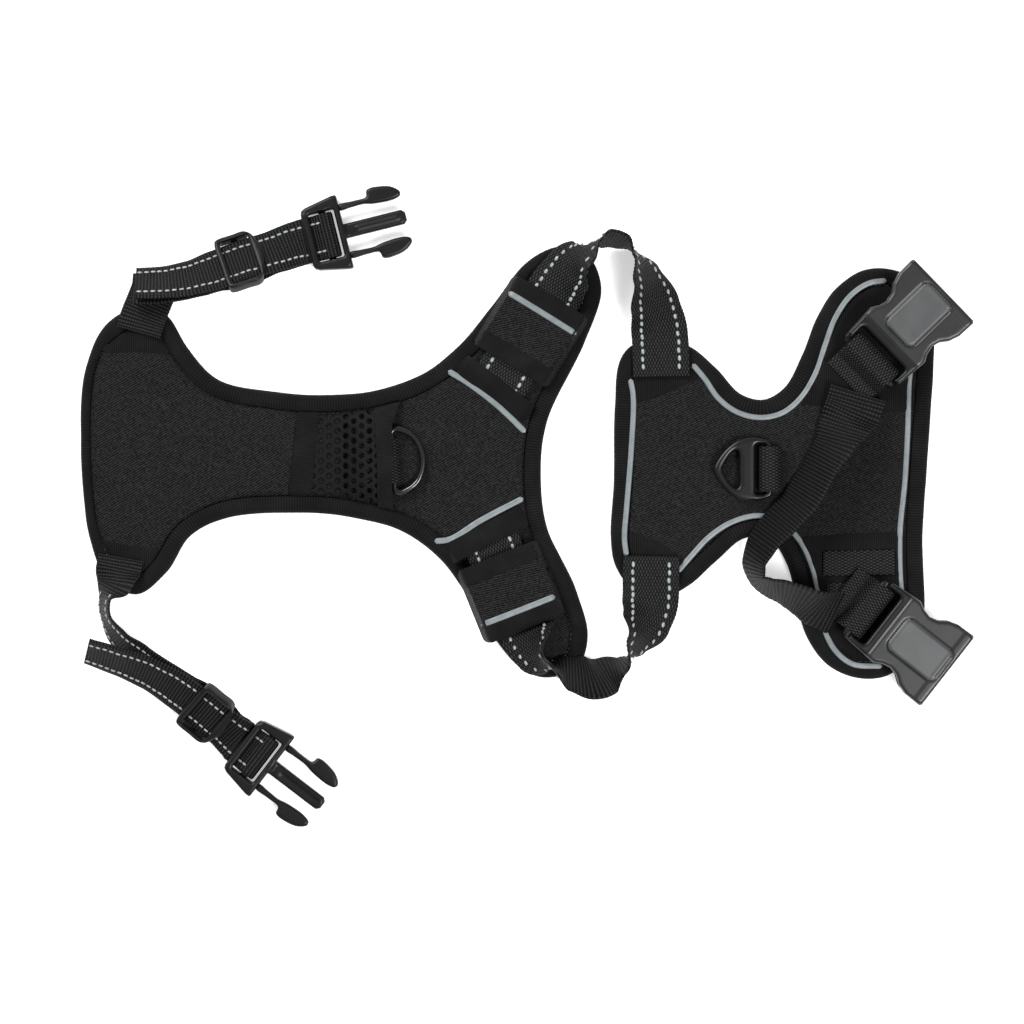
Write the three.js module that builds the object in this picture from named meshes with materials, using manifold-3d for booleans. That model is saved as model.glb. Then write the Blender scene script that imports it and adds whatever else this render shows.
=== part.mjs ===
// A two-panel walking harness for a dog, laid flat: padded chest panel (-X), padded back panel (+X),
// two neck straps, two belly straps with side-release plugs, and two side-release sockets on the back.
// Millimetres, +Z up. The origin is on the surface that the harness lies on, under the middle of its box.
import * as THREE from "three";
import { mergeVertices } from "three/addons/utils/BufferGeometryUtils.js";
import Module from "manifold-3d";

const wasm = await Module();
wasm.setup();

// ---------------------------------------------------------------- driving dimensions
const GAP = 0.3; // air between any two pieces that touch
const PANEL = { lining: 0.9, foam: 2.7, face: 0.9 };
const FOAM_Z = PANEL.lining + GAP;
const FACE_Z = FOAM_Z + PANEL.foam + GAP;
const PANEL_TOP = FACE_Z + PANEL.face;
const BINDING_WIDTH = 7;
const BINDING_WALL = 1.2;
const FABRIC = 0.8; // patches and sleeves
const TAPE = { width: 2.6, thick: 0.5 }; // reflective tape
const WIDE_WEB = { width: 25, thick: 1.4 }; // neck straps, handle and socket loops
const NARROW_WEB = { width: 20, thick: 1.3 }; // belly straps and ring keeper
const NECK_FOLD_X = 36; // the harness folds here, between the two panels
const NECK_WEB_Z = 7.9; // middle of the neck webbing where it lies in an arm

const COLOURS = {
  binding: [0x161617, 0.85],
  fabric: [0x1b1b1c, 0.9],
  mesh: [0x141415, 0.95],
  webbing: [0x1a1a1b, 0.8],
  foam: [0x2a2a2c, 0.95],
  tape: [0x8b9194, 0.45],
  plastic: [0x232527, 0.4],
  steel: [0x2b2c2e, 0.25],
};

// ---------------------------------------------------------------- small tools
const harness = new THREE.Group();

function add(name, geometry, finish, parent = harness) {
  const [color, roughness] = COLOURS[finish];
  const metalness = finish === "steel" ? 0.9 : 0;
  const mesh = new THREE.Mesh(geometry, new THREE.MeshStandardMaterial({ color, roughness, metalness }));
  mesh.name = name;
  parent.add(mesh);
  return mesh;
}

// A three.js geometry as a manifold solid, and back.
function solid(geometry) {
  const bare = geometry.clone();
  bare.deleteAttribute("normal");
  bare.deleteAttribute("uv");
  const merged = mergeVertices(bare, 1e-4);
  const mesh = new wasm.Mesh({
    numProp: 3,
    vertProperties: merged.attributes.position.array,
    triVerts: new Uint32Array(merged.index.array),
  });
  return new wasm.Manifold(mesh);
}

function geometryOf(manifold) {
  const mesh = manifold.getMesh();
  const geometry = new THREE.BufferGeometry();
  geometry.setAttribute("position", new THREE.BufferAttribute(mesh.vertProperties, 3));
  geometry.setIndex(new THREE.BufferAttribute(mesh.triVerts, 1));
  geometry.computeVertexNormals();
  return geometry;
}

const vec2 = ([x, y]) => new THREE.Vector2(x, y);

// Points on a smooth closed line through the given ones, evenly spaced.
function closedLine(points, count) {
  const through = points.map(([x, y]) => new THREE.Vector3(x, y, 0));
  const line = new THREE.CatmullRomCurve3(through, true, "centripetal");
  return line.getSpacedPoints(count).slice(0, count).map((p) => new THREE.Vector2(p.x, p.y));
}

function openLine(points, count) {
  const through = points.map(([x, y]) => new THREE.Vector3(x, y, 0));
  const line = new THREE.CatmullRomCurve3(through, false, "centripetal");
  return line.getSpacedPoints(count).map((p) => new THREE.Vector2(p.x, p.y));
}

// A clockwise or anticlockwise closed line moved inwards by a distance.
function inset(line, distance) {
  const side = THREE.ShapeUtils.isClockWise(line) ? -1 : 1;
  const n = line.length;
  return line.map((p, i) => {
    const along = line[(i + 1) % n].clone().sub(line[(i + n - 1) % n]).normalize();
    return new THREE.Vector2(p.x - along.y * side * distance, p.y + along.x * side * distance);
  });
}

function slab(line, z0, z1, holes = []) {
  const shape = new THREE.Shape(THREE.ShapeUtils.isClockWise(line) ? [...line].reverse() : line);
  shape.holes = holes.map((hole) => new THREE.Path(hole));
  const depth = z1 - z0;
  return new THREE.ExtrudeGeometry(shape, { depth, bevelEnabled: false }).translate(0, 0, z0);
}

function box(x0, x1, y0, y1, z0, z1) {
  const geometry = new THREE.BoxGeometry(x1 - x0, y1 - y0, z1 - z0);
  return geometry.translate((x0 + x1) / 2, (y0 + y1) / 2, (z0 + z1) / 2);
}

// A flat tape of constant width along an open line.
function tape(points, z0, count = 14, { width, thick } = TAPE) {
  const line = openLine(points, count);
  const sideways = line.map((p, i) => {
    const a = line[Math.max(0, i - 1)];
    const b = line[Math.min(line.length - 1, i + 1)];
    const along = b.clone().sub(a).normalize();
    return new THREE.Vector2(-along.y, along.x).multiplyScalar(width / 2);
  });
  const left = line.map((p, i) => p.clone().add(sideways[i]));
  const right = line.map((p, i) => p.clone().sub(sideways[i]));
  return slab([...left, ...right.reverse()], z0, z0 + thick);
}

// Webbing that bends only about its own width: a side view in X and Z, as thick as the webbing, drawn out
// across Y.
function sideWeb(points, { width, thick }) {
  const line = points.map(vec2);
  const normals = line.map((p, i) => {
    const a = line[Math.max(0, i - 1)];
    const b = line[Math.min(line.length - 1, i + 1)];
    const along = b.clone().sub(a).normalize();
    return new THREE.Vector2(-along.y, along.x).multiplyScalar(thick / 2);
  });
  const left = line.map((p, i) => p.clone().add(normals[i]));
  const right = line.map((p, i) => p.clone().sub(normals[i]));
  const geometry = slab([...left, ...right.reverse()], 0, width);
  return geometry.rotateX(Math.PI / 2).translate(0, width / 2, 0);
}

// The line that a strap follows: points of x, y, z and roll in degrees. A positive roll lifts the edge that
// is on the right hand of someone walking along it.
class Spine {
  constructor(points) {
    const through = points.map(([x, y, z]) => new THREE.Vector3(x, y, z));
    this.line = new THREE.CatmullRomCurve3(through, false, "centripetal");
    this.rolls = points.map((p) => THREE.MathUtils.degToRad(p[3]));
    this.last = points.length - 1;
  }

  roll(t) {
    const at = Math.min(Math.max(t, 0), 1) * this.last;
    const i = Math.min(Math.floor(at), this.last - 1);
    const share = THREE.MathUtils.smoothstep(at - i, 0, 1);
    return THREE.MathUtils.lerp(this.rolls[i], this.rolls[i + 1], share);
  }

  // The place and directions at t: X along the strap, Y to its left, Z out of its face.
  frame(t) {
    const along = this.line.getTangent(t);
    const right = new THREE.Vector3().crossVectors(along, new THREE.Vector3(0, 0, 1)).normalize();
    right.applyAxisAngle(along, -this.roll(t));
    const left = right.clone().negate();
    const out = new THREE.Vector3().crossVectors(along, left);
    return new THREE.Matrix4().makeBasis(along, left, out).setPosition(this.line.getPoint(t));
  }

  at(t, offset = 0) {
    return new THREE.Vector3(0, 0, offset).applyMatrix4(this.frame(t));
  }
}

// Webbing along a spine from t0 to t1, lifted off the spine by an offset along its face.
function strap(spine, { width, thick }, steps, t0 = 0, t1 = 1, offset = 0) {
  const geometry = new THREE.BoxGeometry(1, width, thick, steps, 1, 1);
  const place = geometry.attributes.position;
  for (let i = 0; i < place.count; i += 1) {
    const t = t0 + (place.getX(i) + 0.5) * (t1 - t0);
    const corner = new THREE.Vector3(0, place.getY(i), place.getZ(i) + offset);
    corner.applyMatrix4(spine.frame(t));
    place.setXYZ(i, corner.x, corner.y, corner.z);
  }
  return geometry;
}

function groupAt(matrix) {
  const group = new THREE.Group();
  group.applyMatrix4(matrix);
  harness.add(group);
  return group;
}

const flatFrame = (x, y, z, degrees) => new THREE.Matrix4()
  .makeRotationZ(THREE.MathUtils.degToRad(degrees)).setPosition(x, y, z);

// ---------------------------------------------------------------- panels
// Lining, foam and face fabric, held at the edge by a folded binding tape whose section is a C.
function panel(name, line) {
  const seam = inset(line, BINDING_WIDTH);
  const filling = inset(line, BINDING_WIDTH + GAP);
  add(`${name}_lining`, slab(filling, 0, PANEL.lining), "mesh");
  add(`${name}_foam`, slab(inset(line, BINDING_WALL + GAP), FOAM_Z, FOAM_Z + PANEL.foam), "foam");
  add(`${name}_face_fabric`, slab(filling, FACE_Z, PANEL_TOP), "fabric");
  const ring = solid(slab(line, 0, PANEL_TOP, [seam]));
  const groove = solid(slab(inset(line, BINDING_WALL), PANEL.lining, FACE_Z));
  add(`${name}_edge_binding`, geometryOf(ring.subtract(groove)), "binding");
}

const CHEST_LINE = closedLine([
  [-196, 26], [-193.5, 62], [-184, 81], [-170, 87.5], [-158, 84], [-149, 70], [-136, 56], [-115, 51],
  [-92, 49], [-66, 51], [-46, 58], [-30, 70], [-14, 89], [0, 107], [15, 114.5], [28, 110], [33.5, 96],
  [26, 72], [9.5, 37], [6.8, 15], [9.5, -9], [22, -36], [27.5, -58], [22, -72], [8, -75.5], [-3, -70.5],
  [-15, -56], [-28, -36], [-38, -23], [-55, -11], [-80, -4.5], [-106, -3], [-132, -5.3], [-148, -13.5],
  [-158, -29], [-171, -38.8], [-184, -33], [-192, -14],
], 96);
const BACK_LINE = closedLine([
  [39.5, 45], [41.5, 64], [47, 71], [58, 73.5], [72, 70.5], [84, 61], [95, 49.5], [105, 47], [114, 52],
  [122, 67], [129, 84], [137, 96], [149, 104], [161, 104.5], [173, 99], [179.5, 85], [180, 62], [177.5, 25],
  [175.2, -15], [175.5, -50], [170, -66], [160, -74.5], [148, -76], [134, -70.5], [124, -58], [119, -40],
  [115, -25], [107, -14], [96, -14.5], [84, -24.5], [72, -35], [60, -40.5], [48, -37], [40, -27],
  [37.5, -14], [38.8, 10],
], 96);
panel("chest", CHEST_LINE);
panel("back", BACK_LINE);

// Plain patches that double the face fabric where webbing is sewn on.
const PATCH_Z = PANEL_TOP + GAP;
const PATCH_TOP = PATCH_Z + FABRIC;
const PATCHES = {
  chest_patch_upper: [[-186, 69], [-157, 66.5], [-160, 75], [-183, 75.5]],
  chest_patch_lower: [[-188, -16], [-163, -18], [-171, -23.5], [-184, -22]],
  back_patch_upper_left: [[50, 49], [50, 53], [70, 60], [78, 54]],
  back_patch_lower_left: [[46, -10], [46, -17], [64, -24], [72, -20]],
  back_patch_upper_right: [[128, 52], [132, 66], [166, 66], [165, 40], [127, 40]],
  back_patch_lower_right: [[126, -13], [132, -30], [163, -30], [163, -12.5]],
};
for (const [name, corners] of Object.entries(PATCHES)) {
  add(name, slab(corners.map(vec2), PATCH_Z, PATCH_TOP), "fabric");
}

// Reflective tape sewn into the back panel's seams.
const BACK_TAPES = {
  tape_back_left: [[46.2, 56], [47.5, 48], [46.6, 25], [44.6, 0], [43.6, -14], [44.5, -22]],
  tape_back_top: [[73.5, 62.5], [79, 56], [85, 47.5], [93, 41.5], [103, 39], [113, 41], [121.5, 48],
    [128, 59], [132, 71], [136.5, 83], [143, 92.5], [151, 98], [159, 99.3]],
  tape_back_right: [[171, 69], [169, 55], [168.4, 35], [167, 10], [165, -10], [165, -30], [166.5, -46]],
  tape_back_bottom: [[67, -29], [73, -22], [81, -13.5], [91, -7], [103, -4.2], [113, -7.5], [121, -15.5],
    [126, -26], [129, -38], [131, -52], [136, -63], [144, -69.5], [157, -70.5]],
};
for (const [name, points] of Object.entries(BACK_TAPES)) {
  add(name, tape(points, PATCH_Z, points.length + 5), "tape");
}

// ---------------------------------------------------------------- arms of the chest panel
// A sleeve is a fabric cover with its two sides sewn down, so that webbing and its slider run under it.
function sleeve(length, width, top) {
  const foot = width / 2;
  const shoulder = foot - 2;
  const inFoot = foot - 1.2;
  const inShoulder = shoulder - 0.6;
  const section = [[-foot, PATCH_Z], [-foot, PATCH_TOP], [-shoulder, top + FABRIC], [shoulder, top + FABRIC],
    [foot, PATCH_TOP], [foot, PATCH_Z], [inFoot, PATCH_Z], [inShoulder, top], [-inShoulder, top],
    [-inFoot, PATCH_Z]];
  return slab(section.map(vec2), 0, length).rotateX(Math.PI / 2).rotateZ(Math.PI / 2);
}

// A tri-glide: side rails joined by two outer bars over the webbing and a middle bar under it.
function triGlide({ width, thick }) {
  const x = 9;
  const y = width / 2 + 2.9;
  const slot = width / 2 + 1.1;
  const under = thick / 2 + 0.65;
  const bar = 1.2;
  const middle = 1.5;
  const outline = closedLine([[-x, 0], [-x, y - 3], [2.5 - x, y], [x - 4, y], [x, y - 5], [x + 1.2, 0],
    [x, 5 - y], [x - 4, -y], [2.5 - x, -y], [-x, 3 - y]], 24);
  const body = solid(slab(outline, -under - bar, under + bar));
  const cuts = [
    box(-14, 14, -slot, slot, -under, under), // tunnel for the webbing
    box(middle, 14, -slot, slot, -9, 0), // only the middle bar is left below
    box(-14, -middle, -slot, slot, -9, 0),
    box(-6.6, 6.6, -slot, slot, 0, 9), // window between the two outer bars
  ];
  return geometryOf(cuts.reduce((rest, cut) => rest.subtract(solid(cut)), body));
}

const NECK_UPPER = new Spine([
  [-12.2, 52.8, NECK_WEB_Z, 0], [1.6, 75.8, NECK_WEB_Z, 0], [11.7, 92.6, NECK_WEB_Z, 0],
  [18.6, 102.6, 12, 24], [25, 110.6, 16.4, 58], [30.4, 115.2, 15.7, 86], [NECK_FOLD_X, 117.2, 14.6, 104],
  [42.2, 116, 13.7, 104], [48, 110.6, 13, 84], [53, 101.5, 12, 58], [57, 88, 9.6, 28], [59, 76, 7.2, 4],
  [59.6, 66, PATCH_TOP + 1.1, 0], [59.8, 57, PATCH_TOP + 1.1, 0],
]);
const NECK_LOWER = new Spine([
  [-16.2, -12.6, NECK_WEB_Z, 0], [-7.4, -34.6, NECK_WEB_Z, 0], [0.2, -53.6, NECK_WEB_Z, 0],
  [4, -62.4, 13.8, -36], [9.6, -69.2, 18.6, -84], [19, -73.4, 17, -122], [28, -75.2, 14.8, -136],
  [NECK_FOLD_X, -74.2, 11.8, -130],
  [42.6, -69.6, 12.6, -104], [48.6, -61, 12.2, -66], [53, -51, 9.8, -28], [55, -41, 7.2, -4],
  [55.2, -32, PATCH_TOP + 1.1, 0], [55.4, -22, PATCH_TOP + 1.1, 0],
]);
// fold: where on its spine a strap crosses the fold between the panels, as a share. The sleeves are given by
// the x and y of their middle, their turn, length and width.
const ARMS = [
  {
    name: "upper",
    spine: NECK_UPPER,
    fold: 6 / 13,
    outer: [2.4, 77, 59, 35, 39],
    inner: [-13.2, 51.8, 53, 9, 38],
  },
  {
    name: "lower",
    spine: NECK_LOWER,
    fold: 7 / 13,
    outer: [-6.1, -37.8, -68, 34, 39],
    inner: [-17, -12.6, -62, 9, 38],
  },
];
const FOLD_GAP = 0.003; // half the gap in a neck strap at the fold, as a share of its line
const OUTER_SLEEVE_Z = NECK_WEB_Z + WIDE_WEB.thick / 2 + 2.2;
const INNER_SLEEVE_Z = NECK_WEB_Z + WIDE_WEB.thick / 2 + GAP;
for (const arm of ARMS) {
  const [ox, oy, turn, long, wide] = arm.outer;
  const outer = groupAt(flatFrame(ox, oy, 0, turn));
  const cover = sleeve(long, wide, OUTER_SLEEVE_Z).translate(-long / 2, 0, 0);
  add(`arm_sleeve_outer_${arm.name}`, cover, "fabric", outer);
  const tapeLine = [[long / 2 - 8.5, 0.5 - wide / 2 + 3], [long / 2 - 7.5, wide / 2 - 3.5]];
  add(`tape_arm_outer_${arm.name}`, tape(tapeLine, OUTER_SLEEVE_Z + FABRIC + GAP, 4), "tape", outer);
  const [ix, iy, innerTurn, innerLong, innerWide] = arm.inner;
  const inner = groupAt(flatFrame(ix, iy, 0, innerTurn));
  const innerCover = sleeve(innerLong, innerWide, INNER_SLEEVE_Z).translate(-innerLong / 2, 0, 0);
  add(`arm_sleeve_inner_${arm.name}`, innerCover, "fabric", inner);
  add(`neck_slider_${arm.name}`, triGlide(WIDE_WEB), "plastic", groupAt(arm.spine.frame(0.85 / 13)));

  const front = strap(arm.spine, WIDE_WEB, 32, 0, arm.fold - FOLD_GAP);
  const rear = strap(arm.spine, WIDE_WEB, 32, arm.fold + FOLD_GAP, 1);
  add(`neck_strap_${arm.name}_front`, front, "webbing");
  add(`neck_strap_${arm.name}_rear`, rear, "webbing");
}
add("tape_arm_inner_upper", tape([[-34, 59.5], [-25, 54], [-12, 44], [0, 32.5]], PATCH_Z, 6), "tape");
add("tape_arm_inner_lower", tape([[-40, -15.5], [-33, -14.5], [-20, -6.5], [-1, 3.5]], PATCH_Z, 6), "tape");

// ---------------------------------------------------------------- front leash ring
const RING_WIRE = 1.4;
const FRONT_RING = { x: -58.2, y: 19.8, z: PATCH_Z + NARROW_WEB.thick + GAP + RING_WIRE };

function bentWire(points, steps) {
  const through = points.map(([x, y]) => new THREE.Vector3(x, y, 0));
  const path = new THREE.CatmullRomCurve3(through, true, "centripetal");
  const section = new THREE.Shape().absarc(0, 0, RING_WIRE, 0, 2 * Math.PI);
  return new THREE.ExtrudeGeometry(section, { steps, curveSegments: 4, extrudePath: path });
}

{
  const ring = groupAt(flatFrame(FRONT_RING.x, FRONT_RING.y, FRONT_RING.z, 4));
  const bow = [[0, -12.5], [0, -6], [0, 0], [0, 6], [0, 12.5], [1.6, 13.9], [6, 12.8], [10.6, 9], [13.2, 0],
    [10.6, -9], [6, -12.8], [1.6, -13.9]];
  add("front_leash_ring", bentWire(bow, 36), "steel", ring);
  const reach = RING_WIRE + GAP + NARROW_WEB.thick / 2;
  const turn = [0, 45, 90, 135, 180].map((a) => THREE.MathUtils.degToRad(90 - a))
    .map((a) => [reach * Math.cos(a), reach * Math.sin(a)]);
  const keeper = [[-15, reach * 0.55], [-4, reach], ...turn, [-4, -reach], [-16, -reach]];
  add("front_ring_keeper", sideWeb(keeper, NARROW_WEB), "webbing", ring);
}
// The mesh cover lies on the face fabric and rises over the ring's webbing.
{
  const crest = FRONT_RING.z + RING_WIRE + GAP + NARROW_WEB.thick + GAP;
  const side = [[-105, PATCH_Z], [-80, PATCH_Z], [-74, crest], [-60, crest], [-60, crest + FABRIC],
    [-75, crest + FABRIC], [-81, PATCH_TOP], [-105, PATCH_TOP]];
  const arch = solid(slab(side.map(vec2), 0, 80).rotateX(Math.PI / 2).translate(0, 60, 0));
  const corners = [[-99.5, 41.5], [-103.5, 3.8], [-85, 3], [-61.5, -1.5], [-60.2, 44], [-80, 42]];
  const plan = solid(slab(corners.map(vec2), 0, 30));
  add("front_mesh_cover", geometryOf(arch.intersect(plan)), "mesh");
}

// ---------------------------------------------------------------- belly straps and plugs
// Webbing runs from the chest panel to the plug, round the plug's inner bar, and back over itself through
// the slider to a free hemmed end.
const PLUG = { length: 17, shoulder: 16.5, heel: 13.5, tip: 28, guide: 3.2, arm: 10.8, top: 3.6 };
const FLEX = 20; // the webbing bends this far behind the plug's shoulder
const FLEX_GAP = 2.4;
// The heights of the strap's two layers, over the line that its points give.
const TOP = 0.3;
const RUN = -1.7;

function plugFrame() {
  const { length, shoulder, heel, tip, guide, top } = PLUG;
  const plan = [[0, -shoulder], [0, -guide], [tip - 1.5, -guide], [tip, 1.5 - guide], [tip, guide - 1.5],
    [tip - 1.5, guide], [0, guide], [0, shoulder], [-2, shoulder], [2.5 - length, heel + 0.5],
    [-length, heel - 2], [-length, 2 - heel], [2.5 - length, -heel - 0.5], [-2, -shoulder]];
  const slot = NARROW_WEB.width / 2 + 0.8;
  const body = solid(slab(plan.map(vec2), -top, top));
  const cuts = [
    box(-13.8, -9.2, -slot, slot, -9, 9), // slot behind the inner bar
    box(-6.4, -2.4, -slot, slot, -9, 9), // slot in front of it
    box(-20, -13, -slot, slot, -9, 1.3), // the webbing's way in, under the outer bar
    box(-10, -6, -slot, slot, -9, -1.4), // under and over the inner bar
    box(-10, -6, -slot, slot, 0.8, 9),
    box(0.01, tip + 1, -9, 9, -9, -2.4), // the guide is thinner than the frame
    box(0.01, tip + 1, -9, 9, 2.4, 9),
  ];
  return geometryOf(cuts.reduce((rest, cut) => rest.subtract(solid(cut)), body));
}

// A spring arm and its latch pad, side = 1 for the left and -1 for the right.
function plugArm(side) {
  const { arm, tip } = PLUG;
  const plan = [[0.5, arm - 1.2], [0.5, arm + 1.2], [13, arm + 1.6], [13, 15.6], [18, 15.8], [24, 14.6],
    [tip, 11.4], [tip - 0.4, 9.4], [22, 8.4], [15, 8.9], [11, arm - 0.8]];
  return slab(plan.map(([x, y]) => new THREE.Vector2(x, y * side)), -2.2, 2.2);
}

// The end of the strap inside the plug: in under the bars, up and over the inner bar, and back out.
const PLUG_WEB = [[FLEX_GAP / 2 - FLEX, RUN], [-12, RUN], [-8.6, -2.5], [-5.6, -2.6], [-4.2, -1], [-4.2, 1],
  [-5.6, 2.3], [-8.2, 2.3], [-10.2, 1.5], [-11.8, 0.4], [-14, TOP], [FLEX_GAP / 2 - FLEX, TOP]];

const BELLY = [
  {
    name: "upper",
    top: [[-171, 97.6, 10.6, 46], [-160, 98, 10.4, 44], [-148, 99.8, 10, 38], [-136, 103.6, 9.4, 28],
      [-125, 107.6, 9, 26], [-113, 111.2, 8, 23], [-99, 116, 5.4, 9], [-88, 118.8, 4.7, 2],
      [-78, 121.3, 4.7, 2]],
    start: [[-177, 95.4, 8.6, 46], [-171, 95.4, 8.5, 46], [-160, 96, 8.3, 44]],
    joinAt: 2,
    anchor: [[-168.6, 76.5, PATCH_TOP + 1, 0], [-168.6, 88.2, PATCH_TOP + 1, 0]],
    fold: [[-168.6, 88.8, PATCH_TOP + 1, 0], [-168.6, 96.4, PATCH_TOP + 1, 0]],
  },
  {
    name: "lower",
    top: [[-192.4, -63.4, 11.2, -54], [-180, -67.6, 11, -50], [-166, -73, 10.4, -42],
      [-151, -82.2, 9.8, -33], [-139.8, -91.4, 9.6, -31], [-132, -97.8, 8.3, -27], [-124.5, -104.4, 5.2, -7],
      [-117, -110.5, 4.8, -3], [-110.5, -115.5, 4.8, -3]],
    start: [[-179, -28.8, PATCH_TOP + 1.2, 0], [-180.6, -34.2, 9.6, -36], [-184.6, -41, 11, -72],
      [-184.2, -48.6, 10.8, -74], [-178.6, -58.2, 10.2, -62], [-169.6, -66.4, 9.6, -50]],
    joinAt: 3,
    anchor: [[-177.6, -18.4, PATCH_TOP + 1, 0], [-178.9, -27, PATCH_TOP + 1, 0]],
  },
];
const SLIDER_AT = 4; // the slider is at this point of its strap
const SLIDER_DIP = 2.2; // the run goes this much lower near the slider
for (const belly of BELLY) {
  const spine = new Spine(belly.top);
  const steps = belly.top.length - 1;
  const plug = groupAt(spine.frame(1 - 2 / spine.line.getLength()));
  const bend = nearest(spine, new THREE.Vector3(-FLEX - FLEX_GAP / 2, 0, 0).applyMatrix4(plug.matrix));
  add(`belly_strap_${belly.name}_top`, strap(spine, NARROW_WEB, 44, 0, bend, TOP), "webbing");

  const under = [];
  for (let i = belly.joinAt; i / steps < bend - 0.02; i += 0.5) under.push(i / steps);
  under.push(bend);
  const lower = under.map((t) => {
    const dip = Math.abs(t * steps - SLIDER_AT) < 0.6 ? SLIDER_DIP : 0;
    const p = spine.at(t, RUN - dip);
    return [p.x, p.y, p.z, THREE.MathUtils.radToDeg(spine.roll(t))];
  });
  const run = strap(new Spine([...belly.start, ...lower]), NARROW_WEB, 52);
  if (belly.fold) {
    const fold = strap(new Spine(belly.fold), NARROW_WEB, 1);
    add(`belly_strap_${belly.name}_run`, geometryOf(solid(run).add(solid(fold))), "webbing");
  } else {
    add(`belly_strap_${belly.name}_run`, run, "webbing");
  }
  add(`belly_anchor_${belly.name}`, strap(new Spine(belly.anchor), NARROW_WEB, 1), "webbing");

  const slide = groupAt(spine.frame(SLIDER_AT / steps));
  add(`belly_slider_${belly.name}`, triGlide(NARROW_WEB).translate(0, 0, TOP), "plastic", slide);
  add(`plug_${belly.name}_frame`, plugFrame(), "plastic", plug);
  add(`plug_${belly.name}_arm_left`, plugArm(1), "plastic", plug);
  add(`plug_${belly.name}_arm_right`, plugArm(-1), "plastic", plug);
  add(`belly_strap_${belly.name}_loop`, sideWeb(PLUG_WEB, NARROW_WEB), "webbing", plug);
}

// The place on a spine that is nearest to a point.
function nearest(spine, point) {
  let best = 0;
  for (let i = 0; i <= 2000; i += 1) {
    const t = i / 2000;
    if (spine.line.getPoint(t).distanceTo(point) < spine.line.getPoint(best).distanceTo(point)) best = t;
  }
  return best;
}

// ---------------------------------------------------------------- back leash ring and its keeper
const BACK_RING = {
  x: 107.2,
  y: 16.2,
  thick: 3.6,
  play: 0.75,
  reach: 24.6,
  half: 13.9,
  wall: 2.6,
  bar: 2.8,
};
{
  const { thick, reach, half, wall, bar } = BACK_RING;
  const z = PATCH_Z + NARROW_WEB.thick + BACK_RING.play + thick / 2;
  const ring = groupAt(flatFrame(BACK_RING.x, BACK_RING.y, z, 0));
  const bow = (long, wide, from) => {
    const points = [];
    for (let i = 0; i <= 16; i += 1) {
      const turn = Math.PI * (0.5 + i / 16);
      points.push([from + long * Math.cos(turn), wide * Math.sin(turn)]);
    }
    return points;
  };
  const outline = [[bar / 2, -half + 1.2], [bar / 2, half - 1.2], ...bow(reach, half, 0)];
  const window = [...bow(reach - wall, half - wall, -bar / 2)];
  const body = solid(slab(outline.map(vec2), -thick / 2, thick / 2, [window.map(vec2)]));
  const across = [[-13.2, 12.4], [-13.2, -12.4], [-6.2, -12.8], [-6.2, 12.8]];
  const crossbar = solid(slab(across.map(vec2), -thick / 2, thick / 2));
  add("back_leash_ring", geometryOf(body.add(crossbar)), "plastic", ring);
  const reachOut = thick / 2 + BACK_RING.play + NARROW_WEB.thick / 2;
  const loop = [[4.9, -reachOut], [0, -reachOut], [-1.6, -reachOut], [-3.6, -1], [-3.6, 1],
    [-1.6, reachOut], [2, reachOut], [3.8, reachOut - 2.2], [4.9, NARROW_WEB.thick + GAP - reachOut]];
  add("back_ring_keeper", sideWeb(loop, NARROW_WEB), "webbing", ring);
}

// ---------------------------------------------------------------- handle
// A webbing loop sewn down at both ends, over the ends of the webbing that holds the sockets. It has fallen
// over to the left, so its inner edge stands high.
const ANCHOR_Z = 11.5;
const HANDLE = new Spine([
  [146, 49.6, ANCHOR_Z, 0], [143.6, 42, ANCHOR_Z + 0.3, -6], [139.6, 34.6, 14.5, -34], [135, 27, 17, -50],
  [129.2, 17.6, 17.4, -57], [120.8, 3.5, 17, -54], [112.2, -6.3, 17, -56], [103.8, -16, 17.2, -61],
  [100, -25, 16, -70], [101.8, -32.6, 15, -78], [107.2, -36, 15.6, -72], [114.4, -38.6, 17.2, -64],
  [122, -42, 18, -56], [129.5, -45, 13.4, -22], [136.5, -47.6, ANCHOR_Z, 0],
]);
const HANDLE_CUTS = [2 / 14, 12 / 14];
const CUT = 0.006;
add("handle_anchor_upper", strap(HANDLE, WIDE_WEB, 8, 0, HANDLE_CUTS[0] - CUT), "webbing");
add("handle", strap(HANDLE, WIDE_WEB, 60, HANDLE_CUTS[0] + CUT, HANDLE_CUTS[1] - CUT), "webbing");
add("handle_anchor_lower", strap(HANDLE, WIDE_WEB, 8, HANDLE_CUTS[1] + 3.5 * CUT, 1), "webbing");

// ---------------------------------------------------------------- side-release sockets
const SOCKET = { length: 47, mouth: 19.3, waist: 16.2, thick: 11, wall: 1.6 };

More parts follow.
